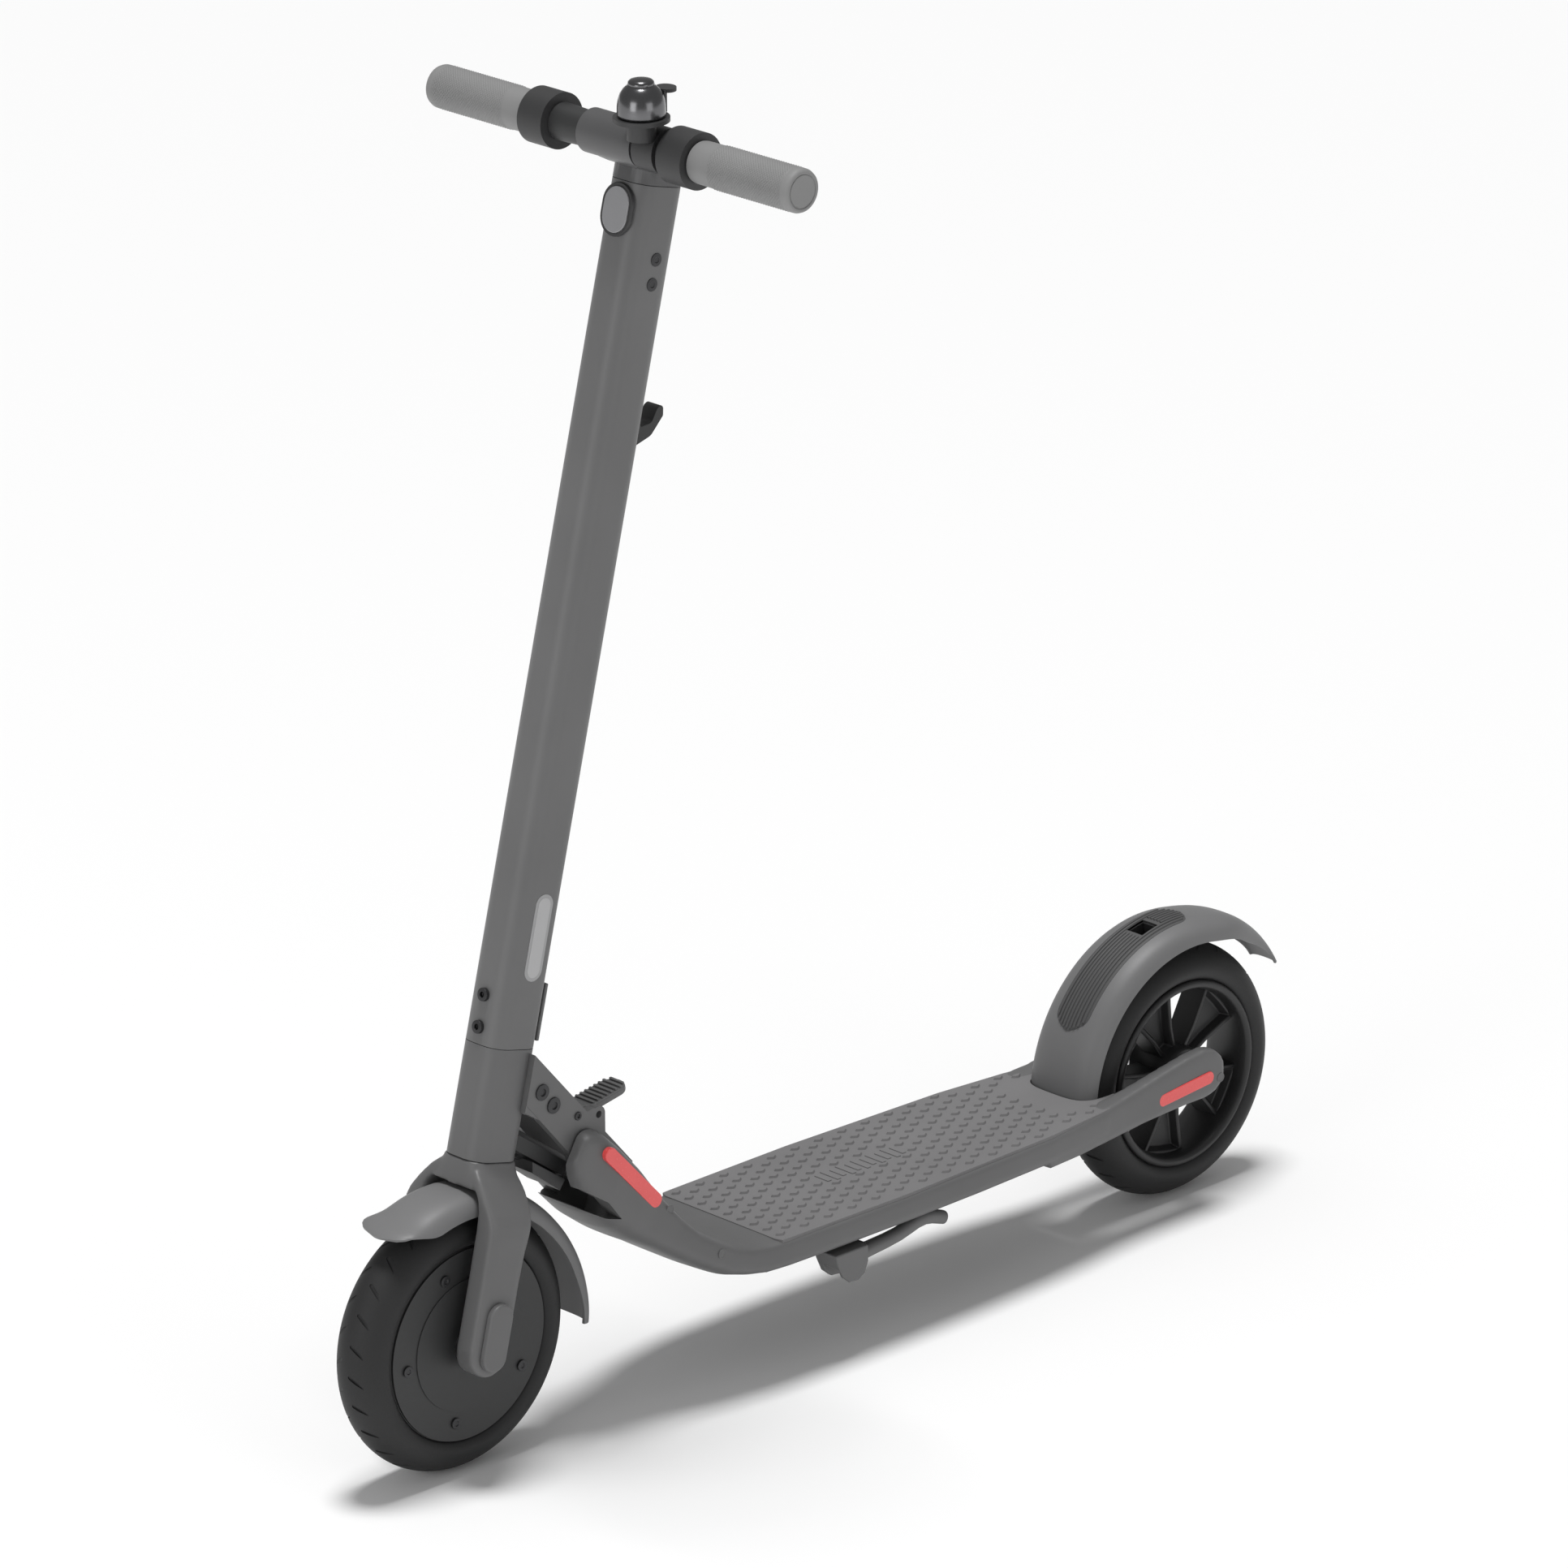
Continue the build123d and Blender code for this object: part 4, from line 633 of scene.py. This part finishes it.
# ------------------------------------------------------------------ fenders
def fender(name, node, body, centre, start, end, shape_at, wall=0.0026, steps=72, across_steps=20):
    """A fender spun round the wheel: shape_at(angle) gives crown radius, half width and edge drop in
    metres."""
    shape = bmesh.new()
    verts = [shape.verts.new((centre.x + 1, centre.y + (k / across_steps * 2 - 1),
                              centre.z)) for k in range(across_steps + 1)]
    edges = [shape.edges.new(pair) for pair in zip(verts, verts[1:])]
    bmesh.ops.spin(shape, geom=verts + edges, cent=centre, axis=(0, -1, 0), angle=math.radians(end - start),
                   steps=steps,
                   use_merge=False)
    for vert in shape.verts:
        turn = math.degrees(math.atan2(vert.co.z - centre.z, vert.co.x - centre.x)) % 360 + start
        radius, width, drop = shape_at(turn)
        share = vert.co.y - centre.y
        bend = abs(share) ** 2.6
        sag = radius - drop * bend
        lean = math.sin(share * math.pi / 2) if drop > 0.004 else share
        vert.co = Vector((centre.x + sag * math.cos(math.radians(turn)), centre.y + width * lean,
                          centre.z + sag * math.sin(math.radians(turn))))
    bmesh.ops.recalc_face_normals(shape, faces=shape.faces)
    made = piece(name, shape, finishes["grey_plastic"], body, "grey_plastic", node, recalc=False, smooth=70)
    outward = made.data.polygons[len(made.data.polygons) // 2]
    if outward.normal.dot(outward.center - centre) < 0:
        made.data.flip_normals()
    shell = made.modifiers.new("wall", "SOLIDIFY")
    shell.thickness = wall
    shell.offset = -1
    soften(made, 0.0008, 2, 50)
    return made


def ease(value, low, high):
    """0 below low, 1 above high, and smooth between."""
    share = min(max((value - low) / (high - low), 0), 1)
    return share * share * (3 - 2 * share)


def front_fender_shape(angle):
    """Crown radius, half width and drop of the front fender."""
    tip = math.sqrt(max(1 - max((63 - angle) / 8.2, 0) ** 2, 0.02))
    radius = 0.1295 + 0.0055 * (1 - ease(angle, 55, 70)) + 0.0062 * ease(angle, 135, 188)
    drop = 0.0172 * ease(angle, 54, 74) - 0.004 * ease(angle, 165, 188)
    return radius, 0.031 * tip, drop


def rear_fender_shape(angle):
    """Crown radius, half width and drop of the rear fender; it leaves the wheel's circle towards its tail."""
    radius = rear_crown + 0.0038 * ease(angle, 100, 122)
    drop = rear_drop * (1 - 0.72 * ease(angle, 122, 151))
    tail = 1 - 0.56 * ease(angle, 104, 152)
    return radius, rear_half * tail, drop


fender("front_fender_moulded", "front_fender", "steering", front_axle, 54.9, 188, front_fender_shape)
rear_guard = fender("rear_fender_moulded", "rear_fender", "foot_brake", rear_axle, -5.6, 151.2,
                    rear_fender_shape, steps=90)

def pad_shape(angle):
    """The pad's raised base: it follows the fender's crown and has round ends."""
    low = max(1 - max((36.5 - angle) / 7.6, 0) ** 2, 0.0)
    high = max(1 - max((angle - 89.5) / 7.6, 0) ** 2, 0.0)
    return pad_crown, 0.0186 * math.sqrt(max(low * high, 0.01)), 0.0015


base = fender("step_pad_base", "step_pad", "foot_brake", rear_axle, 29, 97, pad_shape, wall=0.0024, steps=60)
base.data.materials[0] = finishes["pad_grey"]
catch = bmesh.new()
block = bmesh.ops.create_cube(catch, size=1)["verts"]
bmesh.ops.scale(catch, vec=(0.020, 0.019, 0.03), verts=block)
turn = Matrix.Translation(rear_axle) @ Matrix.Rotation(catch_angle, 4,
                                                       "Y") @ Matrix.Translation((0, 0, 0.140))
bmesh.ops.transform(catch, matrix=turn, verts=block)
catch_cutter = loose("catch_cutter", catch)
for holed in (base, rear_guard):
    cut(holed, catch_cutter.copy() if holed is base else catch_cutter)
# a pocket closes the hole from below; its black finish is painted shade that darkens the hook recess
pocket = bmesh.new()
corners = bmesh.ops.create_cube(pocket, size=1)["verts"]
bmesh.ops.scale(pocket, vec=(0.0236, 0.0226, 0.0145), verts=corners)
mouth = [face for face in pocket.faces if face.normal.z > 0.9]
bmesh.ops.inset_region(pocket, faces=mouth, thickness=0.0016, depth=0, use_even_offset=True)
bmesh.ops.translate(pocket, vec=(0, 0, -0.0115), verts=list(mouth[0].verts))
turn = Matrix.Translation(rear_axle) @ Matrix.Rotation(catch_angle, 4,
                                                       "Y") @ Matrix.Translation((0, 0, 0.1310))
bmesh.ops.transform(pocket, matrix=turn, verts=pocket.verts)
# the black plastic on the pocket is painted shade for the recess under the hook slot
piece("catch_pocket_painted_shade", pocket, finishes["black_plastic"], "foot_brake", "black_plastic")
# ribs of the pad
pad = bmesh.new()
for row in range(-4, 5):
    off = row * 0.0037
    short = (1 - math.sqrt(max(1 - (off / 0.0175) ** 2, 0))) * 7.4
    for first, last in (((30 + short, 72.5), (84.0, 95.5 - short)) if abs(row) < 3 else ((30 + short,
                                                                                          95.5 - short),)):
        height = pad_crown - rear_drop * (math.asin(abs(off) / rear_half) * 2 / math.pi) ** 2.6
        turn = math.radians(first)
        way = Vector((math.cos(turn), 0, math.sin(turn)))
        profile = [(-0.0013, -0.0006), (-0.0011, 0.0006), (-0.0005, 0.0011), (0.0005, 0.0011),
                   (0.0011, 0.0006),
                   (0.0013, -0.0006)]
        verts = [pad.verts.new(rear_axle + way * (height + rise) + across * (off + side)) for side,
                 rise in profile]
        loop = pad.faces.new(verts)
        bmesh.ops.spin(pad, geom=[loop], cent=rear_axle, axis=(0, -1, 0), angle=math.radians(last - first),
                       steps=36)
piece("step_pad_ribs", pad, finishes["pad_grey"], "foot_brake", "black_rubber", smooth=50)

# ------------------------------------------------------------------ rear rim
rim_profile = [(0.0838, -0.0240), (0.0842, -0.0225), (0.0840, 0.0), (0.0842, 0.0225), (0.0838, 0.0240),
               (0.0825, 0.0252),
               (0.0800, 0.0256), (0.0778, 0.0246), (0.0766, 0.0222), (0.0752, 0.0170), (0.0742, 0.0090),
               (0.0738, 0.0),
               (0.0742, -0.0090), (0.0752, -0.0170), (0.0766, -0.0222), (0.0778, -0.0246), (0.0800, -0.0256),
               (0.0825, -0.0252), (0.0838, -0.0240)]
turned("rim_band", rim_profile, rear_axle, across, Vector((0, 0, 1)), finishes["rim_metal"], "rear_wheel",
       "rim_metal",
       "rear_rim", steps=96)
hub_profile = [(0.0170, -0.0235), (0.0215, -0.0230), (0.0235, -0.0205), (0.0240, 0.0), (0.0235, 0.0205),
               (0.0215, 0.0230),
               (0.0170, 0.0235), (0.0165, 0.0200), (0.0162, 0.0), (0.0165, -0.0200), (0.0170, -0.0235)]
turned("rim_hub", hub_profile, rear_axle, across, Vector((0, 0, 1)), finishes["rim_metal"], "rear_wheel",
       "rim_metal",
       steps=64)
spokes = bmesh.new()
for number in range(5):
    way = math.radians(72 * number + 66)
    outline = [(0.0195, -0.0085), (0.0195, 0.0085), (0.040, 0.0130), (0.060, 0.0200), (0.0755, 0.0260),
               (0.0765, 0.0),
               (0.0755, -0.0260), (0.060, -0.0200), (0.040, -0.0130)]
    face = spokes.faces.new([spokes.verts.new(rear_axle + Vector((r * math.cos(way) - w * math.sin(way),
                                                                  -0.0130,
                                                                  r * math.sin(way) + w * math.cos(way))))
                             for r, w in outline])
    grown = bmesh.ops.extrude_face_region(spokes, geom=[face])["geom"]
    top = [part for part in grown if isinstance(part, bmesh.types.BMFace)]
    bmesh.ops.translate(spokes, vec=(0, 0.026, 0), verts=list(top[0].verts))
    bmesh.ops.recalc_face_normals(spokes, faces=spokes.faces)
    for cap in (face, top[0]):
        bmesh.ops.inset_region(spokes, faces=[cap], thickness=0.0036, depth=0.0, use_even_offset=True)
        bmesh.ops.inset_region(spokes, faces=[cap], thickness=0.0030, depth=-0.0075, use_even_offset=True)
soften(piece("rim_spokes", spokes, finishes["rim_metal"], "rear_wheel", "rim_metal", smooth=30), 0.0012, 3,
       25)

# ------------------------------------------------------------------ fold pedal
pedal = bmesh.new()
lean = Vector((-0.985, 0, 0.17)).normalized()
rise = Vector((0.17, 0, 0.985)).normalized()
capsule(pedal, from_rear(669, 274.5), lean, rise, 0.052, 0.026, 0.006)
tread = piece("fold_pedal_plate", pedal, finishes["frame_paint"], "pedal", "dark_metal", "fold_pedal")
soften(tread, 0.0018, 3)
teeth = bmesh.new()
for number in range(8):
    centre = from_rear(669, 274.5) + lean * (0.0215 - 0.0052 * number) + rise * 0.0056
    wide = 0.0225 if number else 0.017
    capsule(teeth, centre, across, rise, wide, 0.0026, 0.0022, 4)
soften(piece("fold_pedal_ribs", teeth, finishes["frame_paint"], "pedal", "dark_metal"), 0.0005, 2)
ears = bmesh.new()
for hand in (-1, 1):
    slab(ears, [(from_rear(x, z).x, from_rear(x, z).z) for x, z in (
        (698, 279), (702, 273), (697, 267), (684, 268), (676, 273), (678, 277))], hand * 0.0105 - 0.002,
        hand * 0.0105 + 0.002)
soften(piece("fold_pedal_ears", ears, finishes["frame_paint"], "pedal", "dark_metal"), 0.001)

# ------------------------------------------------------------------ side stand
stand = bmesh.new()
route = [(459, 86.5, 8.5), (449, 86.8, 8.5), (436, 87.4, 7.6), (428, 87.8, 6.6), (405, 89.3, 6.2),
         (390, 91.0, 6.0),
         (379, 93.6, 6.0), (369, 96.2, 6.0), (359, 97.0, 6.0), (350, 95.4, 6.0), (341, 92.4, 6.0),
         (336.5, 90.8, 5.9),
         (335, 90.3, 4.6)]
rings = []
for number, (x, z, radius) in enumerate(route):
    before, after = route[max(number - 1, 0)], route[min(number + 1, len(route) - 1)]
    along = Vector((after[0] - before[0], 0, after[1] - before[1])).normalized()
    up_way = across.cross(along)
    rings.append(hoop(stand, 24, frame_at(from_rear(x, z, 65), across, up_way), radius / 1000, radius / 1000,
                      radius / 1000,
                      2.4, 2.4))
loft(stand, rings)
soften(piece("stand_arm", stand, finishes["frame_paint"], "stand", "dark_metal", "kickstand"), 0.0006)
bracket = bmesh.new()
slab(bracket, [(from_rear(x, z).x, from_rear(x, z).z) for x, z in (
    (474, 98.5), (436, 98.5), (436, 84), (440, 74), (448, 69.5), (458, 70.5), (466, 77), (472, 90))], 0.050,
    0.0775)
bracket_piece = piece("stand_bracket", bracket, finishes["frame_paint"], "deck", "dark_metal",
                      "kickstand_bracket")
gap_for_arm = bmesh.new()
slab(gap_for_arm, [(from_rear(x, z).x, from_rear(x, z).z) for x,
                   z in ((469, 98), (425, 98), (425, 66), (469, 66))],
     0.0562, 0.0738)
cut(bracket_piece, loose("arm_gap", gap_for_arm))
soften(bracket_piece, 0.0015, 3)

# ------------------------------------------------------------------ screws


def screw(name, centre, way, radius, finish, body, proud=0.0016, socket=0.45, stands_for=()):
    """A round screw head with a hex socket; it stands proud of the face at centre."""
    shape = bmesh.new()
    side = way.orthogonal().normalized()
    other = way.cross(side)
    head = bmesh.ops.create_circle(shape, cap_ends=True, radius=radius, segments=36)["verts"]
    for vert in head:
        vert.co = centre + side * vert.co.x + other * vert.co.y - way * 0.0006
    face = head[0].link_faces[0]
    face.normal_update()
    if face.normal.dot(way) < 0:
        face.normal_flip()
    grown = bmesh.ops.extrude_face_region(shape, geom=[face])["geom"]
    top = [part for part in grown if isinstance(part, bmesh.types.BMFace)][0]
    bmesh.ops.translate(shape, vec=way * (proud + 0.0006), verts=list(top.verts))
    top.normal_update()
    bmesh.ops.inset_region(shape, faces=[top], thickness=radius * (1 - socket), depth=0.0002,
                           use_even_offset=True)
    bmesh.ops.inset_region(shape, faces=[top], thickness=0.0002, depth=-proud * 0.9, use_even_offset=True)
    made = piece(name, shape, finish, body, "steel", *stands_for, smooth=30)
    return soften(made, 0.0004, 2)


dark_steel = finish_of("dark_screw_steel", (0.05, 0.05, 0.052), 0.35, 0.0, 900, metallic=0.7)
for number, s in enumerate((0.2618, 0.2888)):
    screw(f"stem_button_{number}", on_stem(s, 0.0259), ahead, 0.0056, dark_steel, "steering", 0.0034,
          stands_for=[] if number else ["stem_screws"])
for number, s in enumerate((0.9024, 0.8820)):
    for hand in (-1, 1):
        screw(f"stem_side_screw_{number}_{'l' if hand > 0 else 'r'}", on_stem(s, -0.003, hand * 0.0225),
              across * hand, 0.0056,
              dark_steel, "steering", 0.0007)
for number, (x, z, radius) in enumerate(((757.5, 313.1, 7.0), (745.2, 298.2, 7.0), (718.6, 281.3, 3.6))):
    for hand in (-1, 1):
        screw(f"fold_screw_{number}_{'l' if hand > 0 else 'r'}", from_rear(x, z, hand * 28), across * hand,
              radius / 1000,
              dark_steel, "head", 0.0014, stands_for=["fold_screws"] if number == 0 and hand < 0 else [])
for number, angle in enumerate((68.3, -3.5, -75.9, -147.6, 139.3)):
    for hand in (-1, 1):
        turn = math.radians(angle)
        centre = front_axle + Vector((0.0675 * math.cos(turn), hand * 0.0246, 0.0675 * math.sin(turn)))
        screw(f"motor_screw_{number}_{'l' if hand > 0 else 'r'}", centre, across * hand, 0.0048, dark_steel,
              "front_wheel",
              0.0009, stands_for=["motor_screws"] if number == 0 and hand < 0 else [])
for number, (x, z, y) in enumerate(((639, 182, 51.8), (594, 133.5, 66.2), (-9, 118, 58.0))):
    for hand in (-1, 1):
        screw(f"frame_plug_{number}_{'l' if hand > 0 else 'r'}", from_rear(x, z, hand * y), across * hand,
              0.0042,
              finishes["frame_paint"], "deck", 0.0004, 0.8)

# ------------------------------------------------------------------ blank label and bell
plate = bmesh.new()
capsule(plate, on_stem(0.3415, -0.0015, 0.0224), up_stem, across, 0.073, 0.0190, 0.0004)
piece("side_label", plate, finishes["label_grey"], "steering", "grey_plastic")
border = bmesh.new()
capsule(border, on_stem(0.3415, -0.0015, 0.0226), up_stem, across, 0.067, 0.0135, 0.0004)
piece("side_label_panel", border, finishes["label_pale"], "steering", "grey_plastic")

bell_centre = Vector((bar.x + 0.018, 0.046, bar.z + 0.031))
skirt = [(0.0, 0.0005), (0.0175, 0.0005), (0.0192, 0.001), (0.0196, 0.003), (0.0195, 0.009), (0.0188, 0.014),
         (0.0172, 0.0188), (0.0148, 0.0225), (0.0122, 0.0250), (0.0106, 0.0260), (0.0104, 0.0266),
         (0.0, 0.0266)]
turned("bell_cup", skirt, bell_centre, Vector((0, 0, 1)), Vector((1, 0, 0)), finishes["bell_metal"],
       "steering", "bell_metal",
       "bell_dome", steps=72, smooth=50)
button = [(0.0, 0.0262), (0.0104, 0.0262), (0.0108, 0.0272), (0.0104, 0.0288), (0.0088, 0.0302),
          (0.0050, 0.0311),
          (0.0, 0.0314)]
turned("bell_cap", button, bell_centre, Vector((0, 0, 1)), Vector((1, 0, 0)), finishes["bell_metal"],
       "steering",
       "bell_metal", steps=48, smooth=50)

# ------------------------------------------------------------------ everything else keeps its hard shape
hidden = {"motor_stator", "motor_magnets", "battery_pack", "controller", "relay_box", "headset_bearings",
          "motor_bearings", "front_tyre", "rear_tyre", "grip_left", "grip_right", "fork", "deck_frame",
          "neck_cover_left", "neck_cover_right", "side_reflectors", "front_fender", "rear_fender", "step_pad",
          "deck_mat", "rear_rim", "fold_pedal", "kickstand", "kickstand_bracket", "bell_dome", "fold_screws",
          "stem_screws",
          "motor_screws"}
grey_ones = {"axle_covers": finishes["frame_paint"], "charge_flap": finishes["stem_paint"],
             "strip_cover": finishes["stem_paint"],
             "fold_pedal": finishes["frame_paint"]}
for node in sorted(frame["nodes"]):
    if node not in hidden:
        refine(node, material=grey_ones.get(node))
